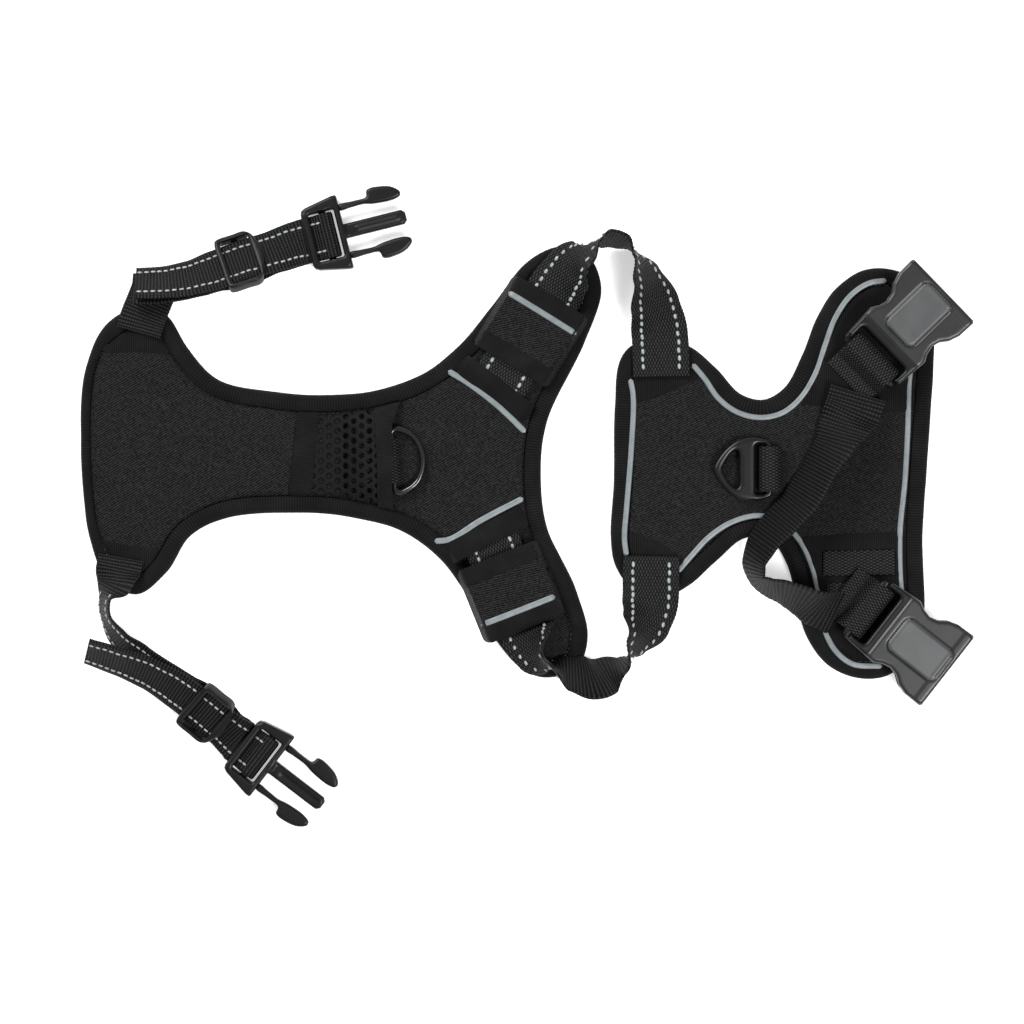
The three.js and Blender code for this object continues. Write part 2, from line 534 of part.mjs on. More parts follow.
function socketBody() {
  const { length, mouth, waist, thick, wall } = SOCKET;
  const side = [[0, mouth - 0.8], [-0.8, mouth], [-9, mouth - 0.2], [-13.5, mouth - 1.6],
    [-17, mouth - 4.2], [-21, mouth - 5.2], [-25, mouth - 4.2], [-28, mouth - 2.4], [-32, mouth - 2.6],
    [-40, waist], [1.5 - length, waist - 0.6], [-length, waist - 2.4]];
  const outline = [...side, ...side.map(([x, y]) => [x, -y]).reverse()];
  const cavity = [[1, mouth - wall - 0.6], [-12, mouth - wall - 1.4], [-12, mouth + 2], [-26, mouth + 2],
    [-26, 11], [-30, 8], [-30, -8], [-26, -11], [-26, -mouth - 2], [-12, -mouth - 2],
    [-12, 1.4 + wall - mouth], [1, 0.6 + wall - mouth]];
  const body = solid(slab(outline.map(vec2), -thick / 2, thick / 2));
  const half = WIDE_WEB.width / 2 + 0.8;
  const cuts = [
    slab(cavity.map(vec2), -3, 3),
    box(-43, -36, -half, half, -9, 9), // slot for the webbing
    box(-50, -42, -half, half, -9, -1.2), // the webbing passes under and over the rear bar
    box(-50, -42, -half, half, 2.2, 9),
  ];
  return geometryOf(cuts.reduce((rest, cut) => rest.subtract(solid(cut)), body));
}

// The webbing that holds a socket, sewn to the panel, up through the slot and back over the rear bar.
function socketLoop(z) {
  const low = PATCH_TOP + 1.1 - z;
  return sideWeb([[-58, low], [-48, low], [-43, -2.9], [-40.6, -2.2], [-39.4, 0.6], [-40.4, 3.2], [-43, 4],
    [-47.4, 3.8], [-50, 0], [-51.6, low + 2.8], [-58, low + 1.8]], WIDE_WEB);
}

const SOCKETS = { upper: [183.1, 94.4, 14.2, 44], lower: [184.7, -72.4, 14.2, -38] };
for (const [name, [x, y, z, turn]] of Object.entries(SOCKETS)) {
  const socket = groupAt(flatFrame(x, y, z, turn));
  add(`socket_${name}`, socketBody(), "plastic", socket);
  add(`socket_loop_${name}`, socketLoop(z), "webbing", socket);
}

export default harness;
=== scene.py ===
import math

import bpy
import numpy as np
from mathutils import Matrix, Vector, geometry, noise
from mathutils.bvhtree import BVHTree


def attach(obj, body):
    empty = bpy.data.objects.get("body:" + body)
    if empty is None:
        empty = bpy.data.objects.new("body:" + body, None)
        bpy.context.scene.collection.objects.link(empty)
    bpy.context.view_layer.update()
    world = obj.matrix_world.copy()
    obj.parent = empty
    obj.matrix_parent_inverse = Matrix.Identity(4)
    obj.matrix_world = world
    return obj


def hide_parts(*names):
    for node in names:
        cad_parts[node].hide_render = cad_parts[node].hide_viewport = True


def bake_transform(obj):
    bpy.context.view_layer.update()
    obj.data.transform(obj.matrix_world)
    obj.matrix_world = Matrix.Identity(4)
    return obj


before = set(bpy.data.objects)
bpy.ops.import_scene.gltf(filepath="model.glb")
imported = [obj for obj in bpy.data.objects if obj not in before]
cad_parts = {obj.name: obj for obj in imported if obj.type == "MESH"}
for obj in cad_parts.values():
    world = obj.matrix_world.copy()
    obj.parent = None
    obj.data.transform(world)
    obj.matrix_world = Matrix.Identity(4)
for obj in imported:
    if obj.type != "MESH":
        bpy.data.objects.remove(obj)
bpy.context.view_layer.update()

bpy.ops.object.select_all(action="DESELECT")

# ---------------------------------------------------------------- camera, table and light
# The harness lies on a pale table and is seen from straight above. Two soft boxes light it, from the upper
# left and, more weakly, from the lower right, under an even white sky.
MM = 0.001
VIEW_CENTRE = (-5.9, -2.6)
VIEW_WIDTH = 450.6
CAMERA_HEIGHT = 2000.0
FACE_HEIGHT = 6.0
SENSOR = 36.0
TABLE_GLOW = 0.5
SKY_STRENGTH = 0.42
bpy.ops.object.camera_add(location=(VIEW_CENTRE[0] * MM, VIEW_CENTRE[1] * MM, CAMERA_HEIGHT * MM))
camera = bpy.context.object
camera.data.sensor_width = SENSOR
camera.data.lens = SENSOR * (CAMERA_HEIGHT - FACE_HEIGHT) / VIEW_WIDTH
camera.data.clip_start = 0.05
camera.data.clip_end = 20.0
bpy.context.scene.camera = camera
bpy.context.scene.view_settings.view_transform = "Standard"

bpy.ops.mesh.primitive_plane_add(size=8.0, location=(0, 0, 0))
table = bpy.context.object
table.name = "table"
table_finish = bpy.data.materials.new("table_white")
table_finish.use_nodes = True
table_shader = table_finish.node_tree.nodes["Principled BSDF"]
table_shader.inputs["Base Color"].default_value = (0.92, 0.92, 0.92, 1)
table_shader.inputs["Roughness"].default_value = 0.9
table_shader.inputs["Emission Color"].default_value = (1, 1, 1, 1)
table_shader.inputs["Emission Strength"].default_value = TABLE_GLOW
table.data.materials.append(table_finish)

sky = bpy.data.worlds.new("studio")
sky.use_nodes = True
sky.node_tree.nodes["Background"].inputs["Color"].default_value = (1, 1, 1, 1)
sky.node_tree.nodes["Background"].inputs["Strength"].default_value = SKY_STRENGTH
bpy.context.scene.world = sky


def softbox(name, place, size, power):
    """A square area light that looks at the middle of the harness."""
    aim = Vector((0, 0, 0)) - Vector(place)
    turn = aim.to_track_quat("-Z", "Y").to_euler()
    bpy.ops.object.light_add(type="AREA", location=place, rotation=turn)
    lamp = bpy.context.object
    lamp.name = name
    lamp.data.shape = "SQUARE"
    lamp.data.size = size
    lamp.data.energy = power


softbox("key_light", (-0.9, 1.0, 1.15), 0.8, 30)
softbox("side_light", (0.62, -0.5, 1.35), 0.5, 21)


# ---------------------------------------------------------------- chest panel, padding and cloth
# Foam with black oxford cloth on its face, cut to the panel's outline and held at the edge by the binding.
# The foam stands up between the seams and is pinched where the binding's stitches go through.
def curve_at(points, t, closed=False):
    """Places on the centripetal Catmull-Rom line through points, at shares t of its spans."""
    p = np.array(points, float)
    n = len(p)
    spans = n if closed else n - 1
    at = np.clip(np.asarray(t, float), 0, 1) * spans
    i = np.minimum(at.astype(int), spans - 1)
    w = (at - i)[:, None]
    if closed:
        p0, p1, p2, p3 = p[(i - 1) % n], p[i % n], p[(i + 1) % n], p[(i + 2) % n]
    else:
        longer = np.vstack([2 * p[0] - p[1], p, 2 * p[-1] - p[-2]])
        p0, p1, p2, p3 = longer[i], longer[i + 1], longer[i + 2], longer[i + 3]
    a, b, c = (np.sqrt(np.linalg.norm(q - r, axis=1))[:, None] for q, r in ((p1, p0), (p2, p1), (p3, p2)))
    m1 = b * ((p1 - p0) / a - (p2 - p0) / (a + b) + (p2 - p1) / b)
    m2 = b * ((p2 - p1) / b - (p3 - p1) / (b + c) + (p3 - p2) / c)
    return p1 + m1 * w + (3 * (p2 - p1) - 2 * m1 - m2) * w**2 + (2 * (p1 - p2) + m1 + m2) * w**3


def even_line(points, step, closed=False):
    """Points a step apart on the smooth line through the given ones."""
    t = np.linspace(0, 1, 60 * len(points))
    fine = curve_at(points, t, closed)
    run = np.concatenate([[0], np.cumsum(np.linalg.norm(np.diff(fine, axis=0), axis=1))])
    count = max(2, int(round(run[-1] / step)))
    where = np.linspace(0, run[-1], count + 1)
    line = curve_at(points, np.interp(where, run, t), closed)
    return line[:-1] if closed else line


def inward(loop):
    """The direction into a closed flat loop, at each of its points."""
    ahead = np.roll(loop, -1, 0) - np.roll(loop, 1, 0)
    ahead /= np.linalg.norm(ahead, axis=1)[:, None]
    x, y = loop[:, 0], loop[:, 1]
    side = 1 if np.sum(x * np.roll(y, -1) - np.roll(x, -1) * y) > 0 else -1
    return np.stack([-ahead[:, 1], ahead[:, 0]], 1) * side


def inside(points, loop):
    """Which of the points are inside a closed loop."""
    a, b = loop, np.roll(loop, -1, 0)
    x, y = points[:, :1], points[:, 1:2]
    rise = (a[:, 1] > y) != (b[:, 1] > y)
    with np.errstate(divide="ignore", invalid="ignore"):
        cross = (b[:, 0] - a[:, 0]) * (y - a[:, 1]) / (b[:, 1] - a[:, 1]) + a[:, 0]
    return (rise & (x < cross)).sum(1) % 2 == 1


def reach_from(points, loops):
    """How far each point is from the nearest loop."""
    best = np.full(len(points), 1e9)
    batch = 2000
    for loop in loops:
        d = np.roll(loop, -1, 0) - loop
        for k in range(0, len(points), batch):
            q = points[k:k + batch, None, :] - loop[None]
            share = np.clip((q * d).sum(2) / np.maximum((d * d).sum(1), 1e-9), 0, 1)
            gap = np.linalg.norm(q - share[..., None] * d, axis=2).min(1)
            best[k:k + batch] = np.minimum(best[k:k + batch], gap)
    return best


def soft_step(x):
    """From 0 to 1 as x does, level at both ends."""
    x = np.clip(x, 0, 1)
    return x * x * (3 - 2 * x)


def ripple(x, y, size, seed=0.0):
    """Smooth unevenness from -1 to 1 with bumps of about this size."""
    return np.array([noise.noise(Vector((a / size, b / size, seed))) for a, b in zip(x, y)])


def pick(piece):
    """Selects this piece alone, for the operators."""
    bpy.ops.object.select_all(action="DESELECT")
    piece.select_set(True)
    bpy.context.view_layer.objects.active = piece


def make_piece(name, places, faces, finishes, face_finish=None, uv=None, angle=None):
    """A mesh from places in millimetres. uv holds one pair for each corner, face after face."""
    mesh = bpy.data.meshes.new(name)
    mesh.from_pydata((np.array(places, float) * MM).tolist(), [], faces)
    for finish in finishes:
        mesh.materials.append(finish)
    if face_finish is not None:
        mesh.polygons.foreach_set("material_index", face_finish)
    if uv is not None:
        layer = mesh.uv_layers.new(name="cloth")
        layer.data.foreach_set("uv", np.array(uv, float).ravel())
    mesh.shade_smooth()
    mesh.update()
    piece = bpy.data.objects.new(name, mesh)
    bpy.context.scene.collection.objects.link(piece)
    if angle:
        pick(piece)
        bpy.ops.object.shade_smooth_by_angle(angle=math.radians(angle))
    return piece


def filled(loops, spacing, rings=()):
    """Triangles that fill a flat outline less its holes: places, faces, distance from the edge."""
    outer = loops[0]
    low, high = outer.min(0), outer.max(0)
    row = np.arange(low[0], high[0], spacing)
    heights = np.arange(low[1], high[1], spacing * 0.866)
    grid = [np.stack([row + spacing / 2 * (i % 2), np.full(len(row), y)], 1) for i, y in enumerate(heights)]
    grid = np.vstack(grid)
    last = max(rings, default=0)

    def keep(points, least):
        ok = inside(points, outer)
        for hole in loops[1:]:
            ok &= ~inside(points, hole)
        ok &= reach_from(points, loops) > least
        return points[ok]

    extra = [keep(grid, last + spacing * 0.45)]
    for ring in rings:
        for i, loop in enumerate(loops):
            extra.append(keep(loop + inward(loop) * ring * (1 if i == 0 else -1), ring * 0.97))
    edges, start = [], 0
    for loop in loops:
        n = len(loop)
        edges += [(start + k, start + (k + 1) % n) for k in range(n)]
        start += n
    flat = np.vstack(list(loops) + extra)
    out = geometry.delaunay_2d_cdt([Vector(p) for p in flat], edges, [], 0, 1e-5)
    places = np.array([tuple(v) for v in out[0]])
    faces = np.array([f for f in out[2] if len(f) == 3])
    middle = places[faces].mean(1)
    ok = inside(middle, outer)
    for hole in loops[1:]:
        ok &= ~inside(middle, hole)
    faces = faces[ok]
    a, b, c = (places[faces[:, k]] for k in range(3))
    area = (b[:, 0] - a[:, 0]) * (c[:, 1] - a[:, 1]) - (b[:, 1] - a[:, 1]) * (c[:, 0] - a[:, 0])
    faces[area < 0] = faces[area < 0][:, ::-1]
    faces = faces[np.abs(area) > 1e-7]
    used = np.unique(faces)
    renumber = np.full(len(places), -1)
    renumber[used] = np.arange(len(used))
    places, faces = places[used], renumber[faces]
    return places, faces, reach_from(places, loops)


def pillow(name, loops, spacing, top, bottom, finish, rings=(), angle=None, move=None):
    """A closed piece between two heights that are functions of x, y and the distance from the edge."""
    flat, faces, edge = filled(loops, spacing, rings)
    n = len(flat)
    x, y = flat[:, 0], flat[:, 1]
    high = np.column_stack([x, y, top(x, y, edge)])
    low = np.column_stack([x, y, bottom(x, y, edge)])
    sides = {}
    for a, b, c in faces.tolist():
        sides.update({(a, b): True, (b, c): True, (c, a): True})
    walls = [(b, a, a + n, b + n) for a, b in sides if (b, a) not in sides]
    solid = faces.tolist() + (faces[:, ::-1] + n).tolist() + walls
    places = np.vstack([high, low])
    if move is not None:
        places = move(places)
    return make_piece(name, places, solid, [finish], angle=angle)


def new_finish(name, roughness, colour=(0.02, 0.02, 0.02), shine=0.5):
    """A finish and its parts: material, node tree, shader."""
    finish = bpy.data.materials.new(name)
    finish.use_nodes = True
    tree = finish.node_tree
    shader = tree.nodes["Principled BSDF"]
    shader.inputs["Base Color"].default_value = (*colour, 1)
    shader.inputs["Roughness"].default_value = roughness
    shader.inputs["Specular IOR Level"].default_value = shine
    return finish, tree, shader


def maths(tree, what, a, b=None, c=None):
    """A Math node's result, from numbers or other nodes' results."""
    node = tree.nodes.new("ShaderNodeMath")
    node.operation = what
    for socket, value in zip(node.inputs, (a, b, c)):
        if isinstance(value, (int, float)):
            socket.default_value = value
        elif value is not None:
            tree.links.new(value, socket)
    return node.outputs[0]


def wave(tree, value, pitch):
    """A cosine of that pitch in metres."""
    return maths(tree, "COSINE", maths(tree, "MULTIPLY", value, 2 * math.pi / pitch))


def place_of(tree, turn=0.0, uv=False):
    """X and Y on the piece, turned by an angle in degrees, or along and across its own cloth."""
    source = tree.nodes.new("ShaderNodeTexCoord").outputs["UV" if uv else "Object"]
    mapping = tree.nodes.new("ShaderNodeMapping")
    mapping.inputs["Rotation"].default_value = (0, 0, math.radians(turn))
    tree.links.new(source, mapping.inputs["Vector"])
    split = tree.nodes.new("ShaderNodeSeparateXYZ")
    tree.links.new(mapping.outputs["Vector"], split.inputs["Vector"])
    return split.outputs["X"], split.outputs["Y"], mapping.outputs["Vector"]


def blotches(tree, place, size, detail=3.0):
    """Soft unevenness from 0 to 1, with patches of that size in metres."""
    node = tree.nodes.new("ShaderNodeTexNoise")
    node.inputs["Scale"].default_value = 1 / size
    node.inputs["Detail"].default_value = detail
    tree.links.new(place, node.inputs["Vector"])
    return node.outputs["Fac"]


def between(tree, share, dark, light, low=0.0, high=1.0):
    """A colour from dark to light as the share goes from low to high."""
    ramp = tree.nodes.new("ShaderNodeValToRGB")
    ramp.color_ramp.elements[0].position = low
    ramp.color_ramp.elements[0].color = (*dark, 1)
    ramp.color_ramp.elements[1].position = high
    ramp.color_ramp.elements[1].color = (*light, 1)
    tree.links.new(share, ramp.inputs["Fac"])
    return ramp.outputs["Color"]


def relief(tree, shader, height, depth, strength):
    """Bumps of that depth in millimetres."""
    bump = tree.nodes.new("ShaderNodeBump")
    bump.inputs["Distance"].default_value = depth * MM
    bump.inputs["Strength"].default_value = strength
    tree.links.new(height, bump.inputs["Height"])
    tree.links.new(bump.outputs["Normal"], shader.inputs["Normal"])


def oxford(name, turn):
    """Oxford cloth: fine yarns in slanting rows, painted lighter where they stand up (painted highlight) and
    near black between them (painted shade).
    """
    finish, tree, shader = new_finish(name, 0.72, shine=0.08)
    x, y, place = place_of(tree, turn)
    over = maths(tree, "MULTIPLY_ADD", wave(tree, x, 0.0017), 0.35, 0.65)
    slant = maths(tree, "ADD", y, maths(tree, "MULTIPLY", x, 0.1))
    yarn = maths(tree, "MULTIPLY", wave(tree, slant, 0.00098), over)
    yarn = maths(tree, "MULTIPLY_ADD", yarn, 0.42, 0.5)
    uneven = blotches(tree, place, 0.0011, 5.0)
    lit = maths(tree, "ADD", yarn, maths(tree, "MULTIPLY_ADD", uneven, 1.1, -0.55))
    # painted highlight on the yarn crests and painted shade in the gaps, over real uneven tone from the
    # blotches
    colour = between(tree, lit, (0.0010, 0.0010, 0.0011), (0.026, 0.026, 0.0265), 0.32, 1.0)
    tree.links.new(colour, shader.inputs["Base Color"])
    shader.inputs["Sheen Weight"].default_value = 0.03
    shader.inputs["Sheen Roughness"].default_value = 0.4
    relief(tree, shader, yarn, 0.14, 0.8)
    return finish


def knit(name, pitch, dark, light, uv=False, turn=0.0, depth=0.12):
    """Black knitted tape with fine ribs across it. The rib crests are painted lighter and the furrows darker,
    as painted highlight and shade, over real uneven tone.
    """
    finish, tree, shader = new_finish(name, 0.8, shine=0.08)
    x, y, place = place_of(tree, turn, uv)
    rib = maths(tree, "MULTIPLY_ADD", wave(tree, x, pitch), 0.5, 0.5)
    stitch = maths(tree, "MULTIPLY_ADD", wave(tree, y, pitch * 0.62), 0.12, 0.0)
    uneven = maths(tree, "MULTIPLY_ADD", blotches(tree, place, 0.012), 0.9, -0.45)
    share = maths(tree, "ADD", maths(tree, "ADD", maths(tree, "MULTIPLY", rib, 0.55), stitch), uneven)
    # painted highlight on the ribs and painted shade between them, with real uneven tone from the blotches
    colour = between(tree, share, dark, light, -0.1, 0.95)
    tree.links.new(colour, shader.inputs["Base Color"])
    shader.inputs["Sheen Weight"].default_value = 0.03
    shader.inputs["Sheen Roughness"].default_value = 0.5
    relief(tree, shader, maths(tree, "ADD", rib, stitch), depth, 0.7)
    return finish


face_cloth = oxford("face_oxford", -36)
air_mesh = knit("air_mesh", 0.0026, (0.006, 0.006, 0.006), (0.022, 0.022, 0.023), turn=30, depth=0.3)

CHEST = even_line([
    (-196, 26), (-193.5, 62), (-184, 81), (-170, 87.5), (-158, 84), (-149, 70), (-136, 56), (-115, 51),
    (-92, 49), (-66, 51), (-46, 58), (-30, 70), (-14, 89), (0, 107), (15, 114.5), (28, 110), (33.5, 96),
    (26, 72), (9.5, 37), (6.8, 15), (9.5, -9), (22, -36), (27.5, -58), (22, -72), (8, -75.5), (-3, -70.5),
    (-15, -56), (-28, -36), (-38, -23), (-55, -11), (-80, -4.5), (-106, -3), (-132, -5.3), (-148, -13.5),
    (-158, -29), (-171, -38.8), (-184, -33), (-192, -14)], 1.5, closed=True)
BINDING_WIDTH = 7.3
SEAM_TOP = 4.35


def seam_of(outline, narrow):
    """The binding's inner seam. At the belly end the binding shows less of its width."""
    width = BINDING_WIDTH - narrow * (1 - soft_step((outline[:, 0] + 193) / 9))
    line = outline + inward(outline) * width[:, None]
    for _ in range(6):
        line = (np.roll(line, 1, 0) + 2 * line + np.roll(line, -1, 0)) / 4
    return line, width


PUFF = 1.25
PAD_BACK = 1.0
BELLY_END_NARROW = 3.2


def pad_top(x, y, edge):
    """The height of the face: a crown between the seams, small pulls at the stitches, soft unevenness."""
    crown = SEAM_TOP + 0.75 * soft_step(edge / 2.2) + PUFF * 0.35 * soft_step(edge / 14)
    pull = np.exp(-edge / 3.2) * np.sin(x * 0.83 + y * 1.07) * 0.07
    return crown + pull + 0.16 * ripple(x, y, 34) * soft_step(edge / 10)


def pad(name, outline, narrow, finish):
    """The padding of a panel, puffed by a cloth simulation between its seam and its flat back."""
    seam, _ = seam_of(outline, narrow)
    loop = seam[::2]
    piece = pillow(name, [loop], 3.0, pad_top, lambda x, y, e: np.full(len(x), PAD_BACK), finish)
    rest = np.array([v.co for v in piece.data.vertices])
    held = piece.vertex_groups.new(name="sewn")
    edge = reach_from(rest[:, :2] / MM, [loop])
    fixed = [i for i, p in enumerate(rest) if p[2] < (PAD_BACK + 0.5) * MM or edge[i] < 1.0]
    held.add(fixed, 1.0, "REPLACE")
    cloth = piece.modifiers.new("puff", "CLOTH")
    cloth.settings.quality = 4
    cloth.settings.mass = 0.02
    cloth.settings.tension_stiffness = 8
    cloth.settings.compression_stiffness = 8
    cloth.settings.bending_stiffness = 0.3
    cloth.settings.use_pressure = True
    cloth.settings.uniform_pressure_force = 4
    cloth.settings.vertex_group_mass = "sewn"
    cloth.settings.effector_weights.gravity = 0
    cloth.collision_settings.use_collision = False
    for step in range(1, 21):
        bpy.context.scene.frame_set(step)
    now = piece.evaluated_get(bpy.context.evaluated_depsgraph_get()).to_mesh()
    puffed = np.array([v.co for v in now.vertices])
    moved = puffed - rest
    far = np.linalg.norm(moved, axis=1)
    most = PUFF * MM
    capped = rest + moved * (most * np.tanh(far / most) / np.maximum(far, 1e-9))[:, None]
    capped[:, :2] = rest[:, :2] + (capped[:, :2] - rest[:, :2]) * 0.3
    piece.modifiers.remove(cloth)
    piece.vertex_groups.clear()
    piece.data.vertices.foreach_set("co", capped.astype(np.float32).ravel())
    bpy.context.scene.frame_set(1)
    finer = piece.modifiers.new("finer", "SUBSURF")
    finer.levels = 1
    finer.render_levels = 1
    pick(piece)
    bpy.ops.object.modifier_apply(modifier="finer")
    return piece


chest_pad = pad("chest_padding", CHEST, BELLY_END_NARROW, face_cloth)
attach(chest_pad, "chest")
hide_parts("chest_foam", "chest_face_fabric")

# ---------------------------------------------------------------- edge binding
# Soft knitted tape folded over the edge of each panel and stitched down through all layers, so that it
# stands up as a round band beside the seam.
binding_knit = knit("binding_knit", 0.00115, (0.002, 0.002, 0.002), (0.012, 0.012, 0.0123), uv=True,
                    depth=0.07)


def swept(name, rows, along, across, finishes, paint=None, closed=False, angle=None):
    """A skin through rows of points, each row a closed section, with its cloth laid out in metres."""
    n, m = rows.shape[:2]
    faces, uv, finish = [], [], []
    last = n if closed else n - 1
    for i in range(last):
        j = (i + 1) % n
        u0, u1 = along[i] * MM, along[i + 1] * MM
        for k in range(m):
            q = (k + 1) % m
            v0, v1 = across[k] * MM, across[k + 1] * MM
            faces.append((i * m + k, j * m + k, j * m + q, i * m + q))
            uv += [(u0, v0), (u1, v0), (u1, v1), (u0, v1)]
            finish.append(paint[k] if paint is not None else 0)
    if not closed:
        for row, order in ((0, 1), (n - 1, -1)):
            faces.append(tuple(row * m + k for k in range(m))[::order])
            uv += [(along[row] * MM, across[k] * MM) for k in range(m)][::order]
            finish.append(0)
    return make_piece(name, rows.reshape(-1, 3), faces, finishes, finish, uv, angle)


def run_of(line, closed=False):
    """The length of a line up to each of its points."""
    step = np.linalg.norm(np.diff(np.vstack([line, line[:1]]) if closed else line, axis=0), axis=1)
    return np.concatenate([[0], np.cumsum(step)])


def binding(name, outline, narrow):
    """Tape round the edge of a panel, swollen and pinched a little along its length."""
    seam, width = seam_of(outline, narrow)
    section = [(1.0, SEAM_TOP - 0.1), (0.985, SEAM_TOP + 0.35), (0.93, 4.95), (0.82, 5.4), (0.66, 5.72),
               (0.5, 5.8), (0.34, 5.6), (0.2, 5.1), (0.09, 4.4), (0.02, 3.5), (0.0, 2.6), (0.02, 1.6),
               (0.08, 0.7), (0.2, 0.2), (0.4, 0.05), (0.7, 0.1), (0.92, 0.35), (1.0, 1.0)]
    share = np.array([s for s, _ in section])
    height = np.array([z for _, z in section])
    run = run_of(outline, True)
    swell = np.array([noise.noise(Vector((x / 13, y / 13, 3.3))) for x, y in outline])
    pinch = np.array([noise.noise(Vector((x / 4.2, y / 4.2, 7.7))) for x, y in outline])
    flat = outline[:, None, :] + (seam - outline)[:, None, :] * share[None, :, None]
    out = -inward(outline)[:, None, :] * (0.22 * swell[:, None] * (1 - share[None, :]))[..., None]
    hump = np.clip((height - 3.0) / 3.0, 0, 1)
    lift = height[None, :] + hump[None, :] * (0.28 * swell + 0.12 * pinch)[:, None]
    rows = np.concatenate([flat + out, lift[..., None]], axis=2)
    across = run_of(np.column_stack([share * BINDING_WIDTH, height]), True)
    return swept(name, rows, run, across, [binding_knit], closed=True)


chest_binding = binding("chest_binding", CHEST, BELLY_END_NARROW)
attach(chest_binding, "chest")
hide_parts("chest_edge_binding")

# ---------------------------------------------------------------- lining of the chest panel
# Black air mesh that lies against the animal. It is stretched flat under the foam, and its edge is caught
# by the binding.
def flat_size(loop, turned_under=2.0):
    """Width, length and area of a cut piece with the margin that is turned under, in metres."""
    width, length = (loop.max(0) - loop.min(0) + 2 * turned_under) * MM
    x, y = loop[:, 0], loop[:, 1]
    area = abs(np.sum(x * np.roll(y, -1) - np.roll(x, -1) * y)) / 2
    edge = np.sum(np.linalg.norm(loop - np.roll(loop, 1, 0), axis=1))
    return (float(width), float(length)), float((area + edge * turned_under) * MM * MM)


def lining(name, outline, narrow, body, node):
    """A panel's lining, a little lower at its edge and softly uneven below."""
    loop = seam_of(outline, narrow)[0][::2]

    def over(x, y, e):
        return np.full(len(x), PAD_BACK - 0.08)

    def under(x, y, e):
        return 0.1 + 0.12 * (1 - soft_step(e / 3)) + 0.08 * (1 + ripple(x, y, 18, 5))

    piece = pillow(name, [loop], 4.0, over, under, air_mesh)
    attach(piece, body)
    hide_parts(node)
    flat, area = flat_size(loop)


lining("chest_lining_cloth", CHEST, BELLY_END_NARROW, "chest", "chest_lining")

# ---------------------------------------------------------------- patches at the belly end
# Plain ribbed cloth that doubles the face in the two corners where the belly straps are sewn on. Each one
# runs in under the binding, and its free edge is turned under.
ribbed_cloth = knit("ribbed_cloth", 0.00095, (0.002, 0.002, 0.002), (0.013, 0.013, 0.0133), depth=0.08)


def lying_on(*pieces):
    """A function that gives the height of the uppermost of these pieces at any place."""
    graph = bpy.context.evaluated_depsgraph_get()
    trees = [BVHTree.FromObject(p, graph) for p in pieces]

    def height(x, y):
        out = np.zeros(len(x))
        for i, (a, b) in enumerate(zip(x, y)):
            for tree in trees:
                hit = tree.ray_cast(Vector((a * MM, b * MM, 0.06)), Vector((0, 0, -1)))[0]
                if hit is not None:
                    out[i] = max(out[i], hit.z / MM)
        return out

    return height


def closed_even(corners, step=1.4):
    """A closed line with straight sides, cut into lengths of about a step."""
    line = []
    for p, q in zip(corners, np.roll(corners, -1, 0)):
        count = max(1, int(np.linalg.norm(q - p) / step))
        line += [p + (q - p) * k / count for k in range(count)]
    return np.array(line)


def along_seam(seam, first, last, inner):
    """A closed loop: the seam from near one point to near another, the short way, then inner points back."""
    a = int(np.argmin(np.linalg.norm(seam - first, axis=1)))
    b = int(np.argmin(np.linalg.norm(seam - last, axis=1)))
    n = len(seam)
    ahead = [(a + k) % n for k in range((b - a) % n + 1)]
    back = [(a - k) % n for k in range((a - b) % n + 1)]
    way = ahead if len(ahead) <= len(back) else back
    return closed_even(np.vstack([seam[way], np.array(inner, float)]), 1.6)


def patch(name, node, body, loop, height):
    """A flat piece of cloth that follows what it lies on, thinner at its stitched edge."""
    def over(x, y, e):
        wave_up = 0.08 * ripple(x, y, 6, 1.0) * soft_step(e / 2)
        return height(x, y) + 0.05 + 0.5 * (0.35 + 0.65 * soft_step(e / 1.2)) + wave_up

    def under(x, y, e):
        return height(x, y) - 0.3

    piece = pillow(name, [loop], 1.8, over, under, ribbed_cloth, rings=(0.5,), angle=50)
    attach(piece, body)
    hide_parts(node)
    flat, area = flat_size(loop)


chest_seam = seam_of(CHEST, BELLY_END_NARROW)[0]
on_chest = lying_on(chest_pad, chest_binding)
on_chest_face = lying_on(chest_pad)
for end, first, last, inner in (("upper", (-190, 68.6), (-156, 66), [(-172, 68)]),
                                ("lower", (-190, -15.6), (-160, -19), [(-175, -17.4)])):
    loop = along_seam(chest_seam, first, last, inner)
    patch(f"chest_corner_{end}", f"chest_patch_{end}", "chest", loop, on_chest_face)

# ---------------------------------------------------------------- webbing of the neck straps
# Black nylon webbing, 25 mm wide, with a row of light reflective stitches near each edge. It comes out of a
# sleeve of the chest panel, turns over on its edge across the fold, and is sewn flat to the back panel.
WIDE = 25.0
THICK = 1.4
DOT_ROW = 1.4
DOT_GAP = 1.33
RIB_ROW = 1.45


def strap_frame(points, t):
    """Places, and the directions along, to the left and out of the face, at shares t of a strap's line.
    The points are x, y, z and roll: a positive roll lifts the right-hand edge."""
    table_of = np.array(points, float)
    t = np.asarray(t, float)
    place = curve_at(table_of[:, :3], t)
    after = curve_at(table_of[:, :3], np.clip(t + 1e-4, 0, 1))
    ahead = after - curve_at(table_of[:, :3], np.clip(t - 1e-4, 0, 1))
    ahead /= np.linalg.norm(ahead, axis=1)[:, None]
    at = np.clip(t, 0, 1) * (len(points) - 1)
    i = np.minimum(at.astype(int), len(points) - 2)
    share = soft_step(at - i)
    roll = np.radians(table_of[i, 3] + (table_of[i + 1, 3] - table_of[i, 3]) * share)
    right = np.cross(ahead, (0, 0, 1))
    right /= np.linalg.norm(right, axis=1)[:, None]
    right = right * np.cos(roll)[:, None] - np.cross(ahead, right) * np.sin(roll)[:, None]
    left = -right
    return place, ahead, left, np.cross(ahead, left)


